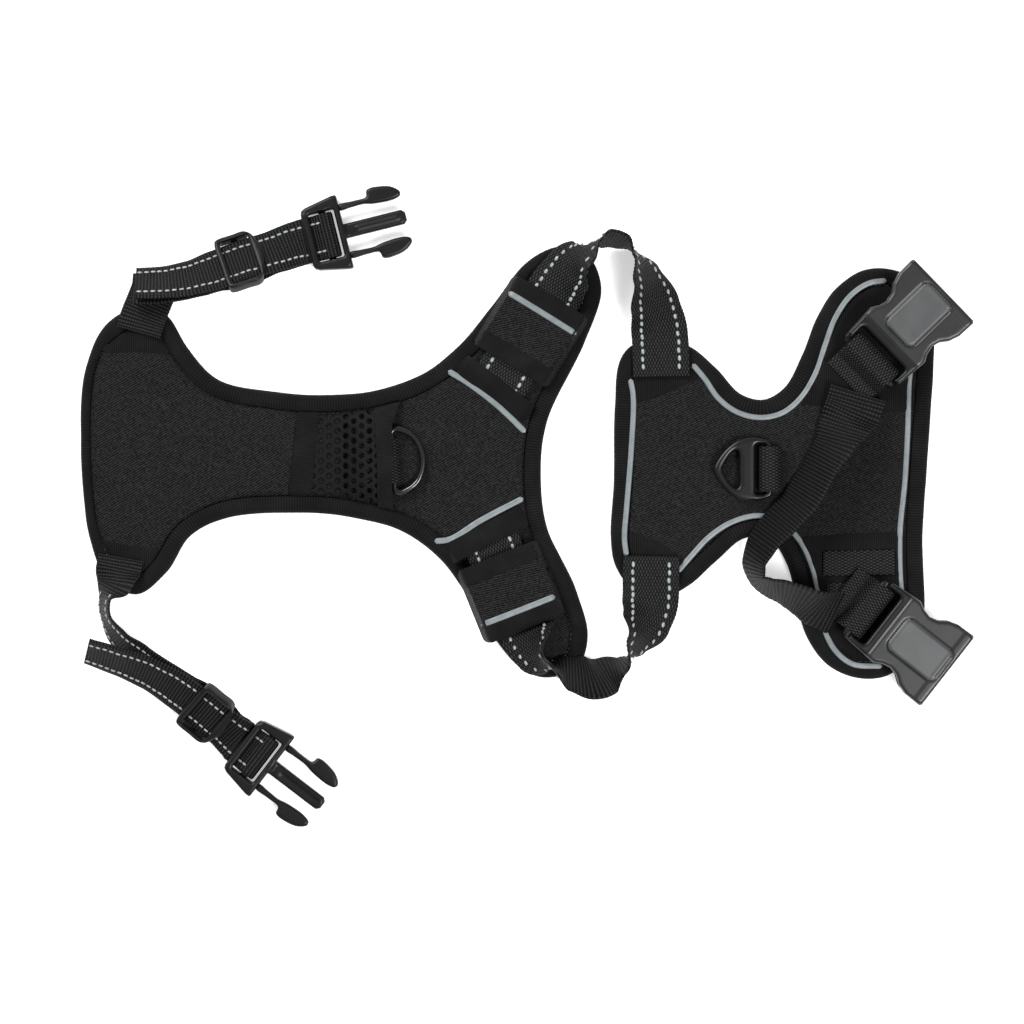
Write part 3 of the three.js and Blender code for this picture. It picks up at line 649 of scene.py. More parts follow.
def even_shares(points, step, first=0.0, last=1.0):
    """Shares of a strap's line that are a step apart in length."""
    t = np.linspace(first, last, 1500)
    run = run_of(curve_at(np.array(points, float)[:, :3], t))
    return np.interp(np.linspace(0, run[-1], max(3, int(run[-1] / step))), run, t)


def webbing_finish(name, row, dot, ribbed, light):
    """Woven webbing. The yarns are painted light as staggered dots or as ribs across it, a painted highlight,
    over gaps painted dark as shade.
    """
    finish, tree, shader = new_finish(name, 0.62, shine=0.12)
    along, across, place = place_of(tree, uv=True)
    if ribbed:
        weave = maths(tree, "MULTIPLY_ADD", wave(tree, along, row * MM), 0.45, 0.45)
        weave = maths(tree, "ADD", weave, maths(tree, "MULTIPLY", wave(tree, across, dot * MM), 0.22))
    else:
        weave = maths(tree, "MULTIPLY", wave(tree, along, 2 * row * MM), wave(tree, across, dot * MM))
        weave = maths(tree, "MULTIPLY_ADD", weave, 0.6, 0.5)
    uneven = maths(tree, "MULTIPLY_ADD", blotches(tree, place, 0.0012), 0.7, -0.35)
    share = maths(tree, "ADD", weave, uneven)
    # painted highlight on the yarns and painted shade in the gaps, with real uneven tone from the blotches
    colour = between(tree, share, (0.0005, 0.0005, 0.0006), light, 0.45, 1.05)
    tree.links.new(colour, shader.inputs["Base Color"])
    shader.inputs["Sheen Weight"].default_value = 0.02
    shader.inputs["Sheen Roughness"].default_value = 0.4
    relief(tree, shader, weave, 0.2, 0.8)
    return finish


dotted_web = webbing_finish("webbing_dotted", DOT_ROW, DOT_GAP, False, (0.033, 0.033, 0.034))
ribbed_web = webbing_finish("webbing_ribbed", RIB_ROW, 1.2, True, (0.024, 0.024, 0.0247))
thread, thread_tree, thread_shader = new_finish("reflective_thread", 0.45)
thread_share = blotches(thread_tree, place_of(thread_tree)[2], 0.0008)
thread_tint = between(thread_tree, thread_share, (0.17, 0.19, 0.19), (0.38, 0.41, 0.41), 0.3, 0.7)
thread_tree.links.new(thread_tint, thread_shader.inputs["Base Color"])


def stitch_rows(frames, run, offsets, pitch, length, wide, lift, first, last):
    """Plump six-sided stitches in rows along a strap: places and faces."""
    place, ahead, left, out = frames
    last = run[-1] if last is None else last
    stations = [(-1.0, 0.05), (-0.75, 0.75), (-0.3, 1.0), (0.3, 1.0), (0.75, 0.75), (1.0, 0.05)]
    turns = np.radians([0, 60, 120, 180, 240, 300])
    tip = (len(stations) - 1) * len(turns)
    places, faces = [], []
    for side in offsets:
        spot = first + pitch / 2
        while spot < last - pitch / 2:
            p, a, l, o = (np.array([np.interp(spot, run, c) for c in v.T]) for v in (place, ahead, left, out))
            start = len(places)
            sway = 0.12 * math.sin(spot * 2.7 + side)
            for share, size in stations:
                for turn in turns:
                    across = math.cos(turn) * size * wide / 2 + side + sway
                    rise = math.sin(turn) * size * 0.42 + lift
                    places.append(p + a * share * length / 2 + l * across + o * rise)
            for row in range(start, start + tip, 6):
                for k in range(6):
                    q = (k + 1) % 6
                    faces.append((row + k, row + 6 + k, row + 6 + q, row + q))
            faces.append(tuple(start + k for k in range(6)))
            faces.append(tuple(start + tip + k for k in range(6))[::-1])
            spot += pitch
    return places, faces


def webbing(name, frames, width, thick, finishes, weave, stitches=None, grain=(0.7, 0.34)):
    """Webbing along frames, woven in relief on both sides. weave gives the height of the yarns on the face
    and on the back, from the length and the width. stitches: inset, pitch, length and width of a stitch, and
    where the rows begin and stop. grain: the mesh's step along the webbing, which is not used, and across it."""
    place, ahead, left, out = frames
    run = run_of(place)
    half = width / 2
    inner = np.linspace(0.3 - half, half - 0.3, int(width / grain[1]))
    v = np.concatenate([inner, [half - 0.05, half - 0.05], inner[::-1], [0.05 - half, 0.05 - half]])
    m = len(inner)
    face_z, back_z = weave(run[:, None], inner[None, :])
    rim = np.clip((half - np.abs(inner)) / 1.0, 0.25, 1)[None, :] ** 0.5
    edge = thick * 0.24
    top = thick / 2 * rim + face_z * rim
    low = -thick / 2 * rim - back_z * rim
    flat = np.ones((len(run), 1))
    z = np.concatenate([top, flat * edge, -flat * edge, low[:, ::-1], -flat * edge, flat * edge], axis=1)
    notch = 0.1 * np.cos(2 * math.pi * run / RIB_ROW)[:, None]
    side = np.broadcast_to(v, z.shape).copy()
    side[:, [m, m + 1]] += notch
    side[:, [2 * m + 2, 2 * m + 3]] -= notch
    rows = place[:, None, :] + left[:, None, :] * side[..., None] + out[:, None, :] * z[..., None]
    n, k = z.shape
    i, j = np.meshgrid(np.arange(n - 1), np.arange(k), indexing="ij")
    q = (j + 1) % k
    faces = np.stack([i * k + j, (i + 1) * k + j, (i + 1) * k + q, i * k + q], 2).reshape(-1, 4).tolist()
    u0, u1 = run[i] * MM, run[i + 1] * MM
    uv = np.stack([u0, v[j] * MM, u1, v[j] * MM, u1, v[q] * MM, u0, v[q] * MM], 2).reshape(-1, 2).tolist()
    paint = np.where((j >= m + 1) & (j < 2 * m + 2), 1, 0).reshape(-1).tolist()
    places = rows.reshape(-1, 3)
    ends = [tuple(range(k)), tuple((n - 1) * k + c for c in range(k))[::-1]]
    for row, end in zip((0, n - 1), ends):
        faces.append(end)
        uv += [(run[row] * MM, v[c % k] * MM) for c in end]
        paint.append(0)
    if stitches:
        inset, pitch, length, wide = stitches[:4]
        begin, stop = stitches[4:] if len(stitches) > 4 else (0.0, None)
        sides = (inset - half, half - inset)
        more, skins = stitch_rows(frames, run, sides, pitch, length, wide, thick / 2 + 0.12, begin, stop)
        base = len(places)
        places = np.vstack([places, more])
        faces += [tuple(base + c for c in f) for f in skins]
        uv += [(0.0, 0.0)] * sum(len(f) for f in skins)
        paint += [2] * len(skins)
    return make_piece(name, places, faces, finishes, paint, uv)


def dots(u, v):
    return np.cos(math.pi * u / DOT_ROW) * np.cos(2 * math.pi * v / DOT_GAP)


def ribs(u, v):
    return np.cos(2 * math.pi * u / RIB_ROW) + 0 * v


def dots_and_dots(u, v):
    return 0.13 * dots(u, v), 0.13 * dots(u, v)


def dots_and_ribs(u, v):
    return 0.16 * dots(u, v), 0.2 * ribs(u, v)


def ribs_and_dots(u, v):
    return 0.16 * ribs(u, v), 0.12 * dots(u, v)


NECK_STITCH = (4.5, 3.45, 2.5, 1.5)
NECK_UPPER = [
    (-12.2, 52.8, 7.9, 0), (1.6, 75.8, 7.9, 0), (11.7, 92.6, 7.9, 0), (18.6, 102.6, 12, 24),
              (25, 110.6, 16.4, 58), (30.4, 115.2, 15.7, 86), (36, 117.2, 14.6, 104), (42.2, 116, 13.7, 104),
    (48, 110.6, 13, 84), (53, 101.5, 12, 58), (57, 88, 9.6, 28), (59, 76, 7.4, 4), (59.6, 66, 7.3, 0),
    (59.8, 57, 7.3, 0)]
NECK_LOWER = [
    (-16.2, -12.6, 7.9, 0), (-7.4, -34.6, 7.9, 0), (0.2, -53.6, 7.9, 0), (4, -62.4, 13.8, -36),
    (9.6, -69.2, 18.6, -84), (19, -73.4, 17, -122), (28, -75.2, 14.8, -136), (36, -74.2, 11.8, -130),
    (42.6, -69.6, 12.6, -104), (48.6, -61, 12.2, -66), (53, -51, 9.8, -28), (55, -41, 7.4, -4),
    (55.2, -32, 7.3, 0), (55.4, -22, 7.3, 0)]
for end, points in (("upper", NECK_UPPER), ("lower", NECK_LOWER)):
    frames = strap_frame(points, even_shares(points, 0.7))
    piece = webbing(f"neck_strap_{end}", frames, WIDE, THICK, [dotted_web, ribbed_web, thread], dots_and_ribs,
                    NECK_STITCH)
    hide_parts(f"neck_strap_{end}_front", f"neck_strap_{end}_rear")
    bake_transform(piece)

# ---------------------------------------------------------------- sleeves of the chest panel's arms
# Each arm has an outer sleeve of face cloth with a plain ribbed hem at both ends, over the neck strap and
# its slider, and a narrow inner sleeve. Their long sides go in under the binding.
OUTER_TOP = 11.9
INNER_TOP = 9.9
CLOTH = 0.7


def in_place(x, y, turn, z=0):
    """From a piece's own length and width to the harness."""
    c, s = math.cos(math.radians(turn)), math.sin(math.radians(turn))

    def place(p):
        q = np.array(p, float)
        q[:, 0] = x + p[:, 0] * c - p[:, 1] * s
        q[:, 1] = y + p[:, 0] * s + p[:, 1] * c
        return q + (0, 0, z) if z else q

    return place


def round_box(x0, x1, y0, y1, radius, step=1.2):
    """A rectangle with rounded corners as a closed line."""
    line = []
    corners = [(x1 - radius, y1 - radius, 0), (x0 + radius, y1 - radius, 90), (x0 + radius, y0 + radius, 180),
               (x1 - radius, y0 + radius, 270)]
    for cx, cy, a in corners:
        for k in range(6):
            turn = math.radians(a + k * 18)
            line.append((cx + radius * math.cos(turn), cy + radius * math.sin(turn)))
    out = []
    for p, q in zip(line, line[1:] + line[:1]):
        count = max(1, int(math.dist(p, q) / step))
        out += [(p[0] + (q[0] - p[0]) * k / count, p[1] + (q[1] - p[1]) * k / count) for k in range(count)]
    return np.array(out)


def arched(place, half, crown, height):
    """The height of cloth that rises from the panel at both sides to a crown given along its length."""
    def top(x, y):
        flat = place(np.column_stack([x, y]))
        foot = height(flat[:, 0], flat[:, 1]) + 0.3
        share = np.clip(1 - np.abs(y / half), 0, 1)
        rise = soft_step(share / 0.16) ** 0.8
        sag = 0.25 * np.exp(-((y / half) ** 2) * 3)
        uneven = 0.10 * ripple(flat[:, 0], flat[:, 1], 5, 9)
        return foot + np.maximum(crown(x) - foot - sag, 0) * rise + uneven

    return top


# x, y, turn, length and width of the outer sleeve, then of the inner one
ARMS = [("upper", (2.4, 77, 59, 35, 39), (-13.2, 51.8, 53, 9, 38)),
        ("lower", (-6.1, -37.8, -68, 34, 39), (-17, -12.6, -62, 9, 38))]
sleeve_cloth = oxford("sleeve_oxford", -18)
hem_cloth = {}
for end, turn in (("upper", 31), ("lower", 22)):
    hem_cloth[end] = knit(f"hem_rib_{end}", 0.0009, (0.002, 0.002, 0.002), (0.014, 0.014, 0.0143),
                          turn=turn, depth=0.08)


def sleeve_part(name, loop, top, lift, thick, finish, place):
    """Cloth on the arch. Its ends turn down a little, as at a folded hem."""
    def over(x, y, e):
        return top(x, y) + lift - 0.28 * (1 - soft_step(e / 0.9))

    def under(x, y, e):
        return top(x, y) + lift - thick

    return pillow(name, [loop], 1.5, over, under, finish, rings=(0.35, 0.9), angle=50, move=place)


tape_finish, tape_tree, tape_shader = new_finish("reflective_tape", 0.42)
tape_share = blotches(tape_tree, place_of(tape_tree)[2], 0.003)
tape_tint = between(tape_tree, tape_share, (0.135, 0.155, 0.162), (0.185, 0.205, 0.215), 0.3, 0.7)
tape_tree.links.new(tape_tint, tape_shader.inputs["Base Color"])
grain_node = tape_tree.nodes.new("ShaderNodeTexVoronoi")
grain_node.inputs["Scale"].default_value = 5000
tape_tree.links.new(place_of(tape_tree)[2], grain_node.inputs["Vector"])
relief(tape_tree, tape_shader, grain_node.outputs["Distance"], 0.03, 0.3)


def reflective(name, node, body, points, height, lift=0.1, width=2.6):
    """A strip of reflective tape, folded so that it stands a little proud, with rounded ends."""
    line = even_line([(*p, 0) for p in points], 0.8)
    run = run_of(line)
    ahead = np.gradient(line, axis=0)
    ahead /= np.linalg.norm(ahead, axis=1)[:, None]
    left = np.stack([-ahead[:, 1], ahead[:, 0], 0 * ahead[:, 0]], 1)
    spread = (-width / 2, -0.6, 0, 0.6, width / 2)
    ground = np.max([height(*(line + left * s)[:, :2].T) for s in spread], axis=0)
    for _ in range(4):
        ground[1:-1] = (ground[:-2] + 2 * ground[1:-1] + ground[2:]) / 4
    near_end = np.minimum(run, run[-1] - run)
    taper = np.sqrt(np.clip(1 - (1 - np.clip(near_end / 1.2, 0, 1)) ** 2, 0.02, 1))
    section = [(-0.5, -0.55), (-0.5, 0.12), (-0.44, 0.34), (-0.3, 0.45), (0, 0.5), (0.3, 0.45),
               (0.44, 0.34), (0.5, 0.12), (0.5, -0.55)]
    side = np.array([s for s, _ in section]) * width
    rise = np.array([z for _, z in section])
    z = ground[:, None] + lift + rise[None, :] * (0.4 + 0.6 * taper[:, None])
    rows = line[:, None, :2] + left[:, None, :2] * (side[None, :, None] * taper[:, None, None])
    rows = np.concatenate([rows, z[..., None]], axis=2)
    piece = swept(name, rows, run, [*side, side[0]], [tape_finish], angle=50)
    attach(piece, body)
    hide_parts(node)


def joined(piece, others):
    """Sews other pieces to a piece: they become one mesh under its name."""
    pick(piece)
    for other in others:
        other.select_set(True)
    bpy.ops.object.join()


def sleeve_cut(piece, loop, node, hem):
    """Attaches a sleeve to the chest, hides the part it stands for, and works out its cut size with the
    margin that the hems take up.
    """
    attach(piece, "chest")
    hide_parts(node)
    flat, area = flat_size(loop, hem)


def outer_crown(half):
    """The outer sleeve's height, which drops towards both mouths."""
    return lambda x: OUTER_TOP - np.where(x > 0, 1.2, 0.2) * soft_step((np.abs(x) - half + 7) / 7)


def inner_crown(half):
    """The inner sleeve's height, which drops towards the strap's hidden end."""
    return lambda x: INNER_TOP - 3.6 * soft_step((half - 2.5 - x) / (2 * half))


for end, outer, inner in ARMS:
    x, y, turn, length, width = outer
    place = in_place(x, y, turn)
    top = arched(place, width / 2, outer_crown(length / 2), on_chest)
    half, side = length / 2, width / 2
    whole = round_box(-half, half, -side, side, 2.5)
    cover = sleeve_part(f"sleeve_outer_{end}", whole, top, 0, CLOTH, sleeve_cloth, place)
    tip = round_box(half - 7.2, half + 0.4, 1.2 - side, side - 1.2, 2.6)
    tail = round_box(-half - 0.4, 7.6 - half, 1.0 - side, side - 1.0, 1.2)
    joined(cover, [sleeve_part("hem", loop, top, 0.4, 0.5, hem_cloth[end], place) for loop in (tip, tail)])
    sleeve_cut(cover, whole, f"arm_sleeve_outer_{end}", 4.0)
    strip = place(np.array([[half - 8.6, 1.6 - side], [half - 8.3, 0], [half - 8.2, side - 2.4]]))
    reflective(f"sleeve_tape_{end}", f"tape_arm_outer_{end}", "chest", strip.tolist(), lying_on(cover))

    x, y, turn, length, width = inner
    place = in_place(x, y, turn)
    top = arched(place, width / 2, inner_crown(length / 2), on_chest)
    whole = round_box(-length / 2 - 0.4, length / 2, -width / 2, width / 2, 1.0)
    cover = sleeve_part(f"sleeve_inner_{end}", whole, top, 0, CLOTH, hem_cloth[end], place)
    sleeve_cut(cover, whole, f"arm_sleeve_inner_{end}", 2.0)


def on_arm(x, y):
    return np.maximum(on_chest(x, y), 5.6)


for end, points in (("upper", [(-34, 59.5), (-25, 54), (-12, 44), (0, 32.5)]),
                    ("lower", [(-40, -15.5), (-33, -14.5), (-20, -6.5), (-1, 3.5)])):
    reflective(f"arm_tape_{end}", f"tape_arm_inner_{end}", "chest", points, on_arm, 0.4)

# ---------------------------------------------------------------- front leash ring and its keeper
# A round-wire steel ring, black, in a loop of narrow webbing. The keeper and the ring's straight bar are
# under the mesh cover; the bow comes out to the right of it.
ring_steel = new_finish("ring_steel_black", 0.25, (0.004, 0.004, 0.0045), 0.4)[0]
ring_steel.node_tree.nodes["Principled BSDF"].inputs["Coat Weight"].default_value = 0.4


def wire(name, line, radius, finish, sides=14):
    """Round wire bent along a closed line."""
    line = even_line(line, 0.7, True)
    ahead = np.roll(line, -1, 0) - np.roll(line, 1, 0)
    ahead /= np.linalg.norm(ahead, axis=1)[:, None]
    left = np.cross((0, 0, 1), ahead)
    left /= np.linalg.norm(left, axis=1)[:, None]
    up = np.cross(ahead, left)
    turn = np.arange(sides) * 2 * math.pi / sides
    ring = left[:, None] * np.cos(turn)[None, :, None] + up[:, None] * np.sin(turn)[None, :, None]
    rows = line[:, None] + ring * radius
    across = np.arange(sides + 1) * radius * 0.45
    return swept(name, rows, run_of(line, True), across, [finish], closed=True, angle=60)


FRONT_RING = (-58.2, 19.8, 8.4, 4)


def turned(points, x, y, z, turn):
    """Points of a ring's own plan put at its place in the harness."""
    c, s = math.cos(math.radians(turn)), math.sin(math.radians(turn))
    return [(x + a * c - b * s, y + a * s + b * c, z + h) for a, b, h in points]


bow = [(0, 12.5, 0), (1.6, 13.9, 0), (6, 12.8, 0), (10.6, 9, 0), (13.2, 0, 0), (10.6, -9, 0), (6, -12.8, 0),
       (1.6, -13.9, 0), (0, -12.5, 0), (0, -8, 0), (0, 0, 0),
       (0, 8, 0)]
front_ring = wire("front_ring", turned(bow, *FRONT_RING), 1.4, ring_steel)
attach(front_ring, "front_ring")
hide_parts("front_leash_ring")

NARROW = 20.0


def loop_frames(path, x, y, z, turn, step=0.6):
    """Frames of webbing that runs round a path of local x and z, its width along local y."""
    line = even_line([(a, 0, h) for a, h in path], step)
    ahead = np.gradient(line, axis=0)
    ahead /= np.linalg.norm(ahead, axis=1)[:, None]
    left = np.tile((0.0, 1.0, 0.0), (len(line), 1))
    out = np.cross(ahead, left)
    c, s = math.cos(math.radians(turn)), math.sin(math.radians(turn))
    spin = np.array([(c, s, 0), (-s, c, 0), (0, 0, 1)])
    return line @ spin + (x, y, z), ahead @ spin, left @ spin, out @ spin


front_path = [(-14.5, 2.35), (-4, 2.35), (-1, 2.25), (1.3, 1.5), (2.35, 0), (1.3, -1.5), (-1, -2.25),
              (-4, -2.35), (-15.5, -2.35)]
keeper = webbing("front_ring_web", loop_frames(front_path, *FRONT_RING), NARROW, 1.2,
                 [dotted_web, dotted_web], dots_and_dots)
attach(keeper, "chest")
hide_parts("front_ring_keeper")

# ---------------------------------------------------------------- mesh cover over the front ring
# Open mesh with six-sided holes, hemmed with ribbed cloth at its left and right ends. It lies on the chest
# panel and rises over the ring's bar; the top and bottom go in under the binding.
open_mesh, mesh_tree, mesh_shader = new_finish("open_mesh_cloth", 0.7, shine=0.12)
mesh_x, mesh_y, mesh_place = place_of(mesh_tree)
# The mesh's yarns are painted lighter on a fine grid and darker between, painted highlight and shade, with
# real uneven tone from the blotches.
mesh_share = maths(mesh_tree, "MULTIPLY", wave(mesh_tree, mesh_x, 0.0009), wave(mesh_tree, mesh_y, 0.0011))
mesh_share = maths(mesh_tree, "ADD", maths(mesh_tree, "MULTIPLY_ADD", mesh_share, 0.35, 0.4), maths(
    mesh_tree, "MULTIPLY_ADD", blotches(mesh_tree, mesh_place, 0.005), 0.3, -0.1))
mesh_tree.links.new(between(mesh_tree, mesh_share, (0.0015, 0.0015, 0.0015), (0.008, 0.008, 0.0082)),
                    mesh_shader.inputs["Base Color"])

COVER_TOP = [(-103, 41.7), (-98, 41.9), (-80, 42.6), (-70, 43.6), (-60, 45.6), (-50, 48.4)]
COVER_LOW = [(-103, 4.6), (-98, 4.3), (-85, 2.6), (-70, -1.2), (-61.5, -4.2), (-56, -6.6)]


def cover_rise(x, y):
    """How far the mesh stands off the panel, over the ring's bar and keeper."""
    rise = soft_step((x + 84) / 14)
    across = soft_step((y - 2) / 8) * soft_step((44 - y) / 9)
    return rise * (1.8 + 5.0 * across)


def cover_at(x, y):
    """The height of the middle of the mesh."""
    return on_chest_face(x, y) + 1.05 + cover_rise(x, y) + 0.12 * ripple(x, y, 8, 4)


def mesh_sheet():
    """A net of six-sided cells, each a frame round a hole, within the cover's outline."""
    pitch_x, pitch_y = 3.6, 4.4
    hole = 0.6
    places, faces, index = [], [], {}

    def point(x, y):
        key = (round(x, 3), round(y, 3))
        if key not in index:
            index[key] = len(places)
            places.append((x, y))
        return index[key]

    corners = ((2 / 3, 0), (1 / 3, 0.5), (-1 / 3, 0.5), (-2 / 3, 0), (-1 / 3, -0.5), (1 / 3, -0.5))
    for i in range(-29, -16):
        for j in range(-4, 25):
            cx, cy = i * pitch_x, j * pitch_y / 2
            top = np.interp(cx, *np.array(COVER_TOP).T)
            low = np.interp(cx, *np.array(COVER_LOW).T)
            if (i + j) % 2 or cy > top + 1.6 or cy < low - 1.6 or cx < -99 or cx > -63:
                continue
            hexagon = [(cx + dx * pitch_x, cy + dy * pitch_y) for dx, dy in corners]
            outer = [point(*p) for p in hexagon]
            start = len(places)
            places += [((x - cx) * hole + cx, (y - cy) * hole + cy) for x, y in hexagon]
            for k in range(6):
                q = (k + 1) % 6
                faces.append((outer[k], outer[q], start + q, start + k))
    flat = np.array(places)
    z = cover_at(flat[:, 0], flat[:, 1])
    piece = make_piece("mesh_cover", np.column_stack([flat, z]), faces, [open_mesh])
    pick(piece)
    yarn = piece.modifiers.new("yarn", "SOLIDIFY")
    yarn.thickness = 0.9 * MM
    bpy.ops.object.modifier_apply(modifier="yarn")
    rounder = piece.modifiers.new("rounder", "SUBSURF")
    rounder.levels = 1
    rounder.render_levels = 1
    bpy.ops.object.modifier_apply(modifier="rounder")
    return piece


cover = mesh_sheet()
hem_rib = knit("cover_hem_rib", 0.0009, (0.002, 0.002, 0.002), (0.014, 0.014, 0.0143), turn=96, depth=0.08)
LEFT_HEM = np.array([(-100.2, 41.6), (-90.6, 41.9), (-92.3, 22), (-94.6, 4.0), (-104.2, 4.6), (-102.2, 22)])
RIGHT_HEM = np.array([(-66.5, 43.9), (-54.5, 46.9), (-57.2, 40), (-58.5, 36), (-58.4, 20), (-58.6, 2.5),
                      (-57.4, -5.6), (-65, -2.6), (-65.2, 20)])


def cover_hem(name, corners, lift):
    """A hem that wraps an end of the mesh."""
    def over(x, y, e):
        return cover_at(x, y) + lift - 0.3 * (1 - soft_step(e / 0.9))

    def under(x, y, e):
        return cover_at(x, y) - 1.1

    return pillow(name, [closed_even(corners)], 1.5, over, under, hem_rib, rings=(0.35, 0.9), angle=50)


joined(cover, [cover_hem("cover_hem_left", LEFT_HEM, 0.35), cover_hem("cover_hem_right", RIGHT_HEM, 0.5)])
cover_loop = np.array(COVER_TOP + COVER_LOW[::-1])
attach(cover, "chest")
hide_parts("front_mesh_cover")
flat, area = flat_size(cover_loop)

# ---------------------------------------------------------------- back panel
# Made as the chest panel is: padding under the face cloth, a lining of air mesh, four corner patches and
# edge binding. A reflective tape is sewn in along the inner side of the binding.
BACK = even_line([
    (39.5, 45), (41.5, 64), (47, 71), (58, 73.5), (72, 70.5), (84, 61), (95, 49.5), (105, 47), (114, 52),
    (122, 67), (129, 84), (137, 96), (149, 104), (161, 104.5), (173, 99), (179.5, 85), (180, 62),
    (177.5, 25), (175.2, -15), (175.5, -50), (170, -66), (160, -74.5), (148, -76), (134, -70.5),
    (124, -58), (119, -40), (115, -25), (107, -14), (96, -14.5), (84, -24.5), (72, -35), (60, -40.5),
    (48, -37), (40, -27), (37.5, -14), (38.8, 10)], 1.5, closed=True)
back_cloth = oxford("back_oxford", -30)
back_pad = pad("back_padding", BACK, 0, back_cloth)
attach(back_pad, "back")
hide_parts("back_foam", "back_face_fabric")
back_binding = binding("back_binding", BACK, 0)
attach(back_binding, "back")
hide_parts("back_edge_binding")
lining("back_lining_cloth", BACK, 0, "back", "back_lining")

back_seam = seam_of(BACK, 0)[0]
on_back = lying_on(back_pad, back_binding)
on_back_face = lying_on(back_pad)
for name, node, first, last, inner in (
        ("back_corner_upper_left", "back_patch_upper_left", (47, 45), (78, 57), [(62, 49.5)]),
        ("back_corner_lower_left", "back_patch_lower_left", (45, -10), (70, -21.5), [(57, -15)]),
        ("back_corner_upper_right", "back_patch_upper_right", (171, 41), (119, 43), [(145, 41.6)]),
        ("back_corner_lower_right", "back_patch_lower_right", (119, -12), (170, -12), [(145, -12)])):
    patch(name, node, "back", along_seam(back_seam, first, last, inner), on_back_face)

BACK_TAPES = {
    "left": [(46.2, 56), (47.5, 48), (46.6, 25), (44.6, 0), (43.6, -14), (44.5, -22)],
    "top": [(73.5, 62.5), (79, 56), (85, 47.5), (93, 41.5), (103, 39), (113, 41), (121.5, 48), (128, 59),
            (132, 71), (136.5, 83), (143, 92.5), (151, 98),
            (159, 99.3)],
    "right": [(171, 69), (169, 55), (168.4, 35), (167, 10), (165, -10), (165, -30), (166.5, -46)],
    "bottom": [(67, -29), (73, -22), (81, -13.5), (91, -7), (103, -4.2), (113, -7.5), (121, -15.5),
               (126, -26), (129, -38), (131, -52), (136, -63), (144, -69.5),
               (157, -70.5)]}
for side, points in BACK_TAPES.items():
    reflective(f"back_tape_{side}", f"tape_back_{side}", "back", points, on_back, lift=0.05, width=2.4)

# ---------------------------------------------------------------- back leash ring and its keeper
# A leaf-shaped ring of glossy black plastic with a crossbar, held flat by a loop of webbing sewn to the
# panel. Its left end stands out of the loop for the leash.
ring_plastic, plastic_tree, plastic_shader = new_finish("ring_plastic_black", 0.32, shine=0.3)
plastic_share = blotches(plastic_tree, place_of(plastic_tree)[2], 0.006)
plastic_tree.links.new(between(plastic_tree, plastic_share, (0.003, 0.003, 0.0032), (0.006, 0.006, 0.0065)),
                       plastic_shader.inputs["Base Color"])


def round_edge(edge, radius):
    """How far a rounded edge has risen at this distance in from it."""
    d = np.minimum(edge, radius)
    return np.sqrt(np.maximum(radius ** 2 - (radius - d) ** 2, 0))


def moulded(name, loops, thick, finish, radius=1.2, spacing=1.1, move=None, dip=None, low=None):
    """A moulded piece of even thickness with round edges; loops are its outline and its openings."""
    reach = min(radius, thick / 2 - 0.02)

    def over(x, y, e):
        z = thick / 2 - reach + round_edge(e, reach)
        return z + (dip(x, y, e) if dip else 0)

    def under(x, y, e):
        return -(thick / 2 - reach + round_edge(e, reach))

    rings = tuple(reach * (1 - math.cos(math.radians(a))) for a in (25, 45, 65)) + (reach,)
    return pillow(name, loops, spacing, over, low or under, finish, rings=rings, angle=50, move=move)


def frame_place(origin, x_axis, y_axis):
    """From a hard piece's own axes to the model."""
    ex, ey = np.array(x_axis, float), np.array(y_axis, float)
    ex /= np.linalg.norm(ex)
    ey -= ex * ex.dot(ey)
    ey /= np.linalg.norm(ey)
    ez = np.cross(ex, ey)
    return lambda p: np.array(origin) + p @ np.array([ex, ey, ez])


def smooth_loop(points, step=0.8):
    """A smooth closed flat line through the points."""
    return even_line([(x, y, 0) for x, y in points], step, True)[:, :2]


BACK_RING = (107.2, 16.2, 9.25)
leaf = smooth_loop([(-24.6, 0), (-23.4, 3.4), (-19, 9.2), (-13.6, 13), (-7.6, 13.9), (-2.4, 13.2),
                    (0.4, 12.2), (1.4, 10.4), (1.4, 0), (1.4, -10.4), (0.4, -12.2), (-2.4, -13.2),
                    (-7.6, -13.9), (-13.6, -13), (-19, -9.2),
                    (-23.4, -3.4)])
leaf_window = smooth_loop([(-20.6, 0), (-19.2, 3.4), (-16.2, 7.4), (-14.2, 8.4), (-13.4, 6.8), (-13.3, 0),
                           (-13.4, -6.8), (-14.2, -8.4), (-16.2, -7.4),
                           (-19.2, -3.4)], 0.7)
leaf_slot = round_box(-6.2, -1.4, -11.2, 11.2, 1.4, 0.8)
back_ring = moulded("back_ring", [leaf, leaf_window, leaf_slot], 3.6, ring_plastic, 1.5,
                    move=lambda p: p + BACK_RING)
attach(back_ring, "back_ring")
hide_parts("back_leash_ring")

BACK_PATH = [(4.9, -3.2), (0, -3.2), (-1.6, -3.2), (-3.2, -2.2), (-3.9, 0), (-3.2, 2.2), (-1.6, 3.2),
             (2, 3.2), (3.8, 2.2), (5.1, 0.6),
             (5.3, -2)]
keeper = webbing("back_ring_web", loop_frames(BACK_PATH, *BACK_RING, 0), NARROW, 1.2,
                 [dotted_web, dotted_web], dots_and_dots)
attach(keeper, "back")
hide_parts("back_ring_keeper")

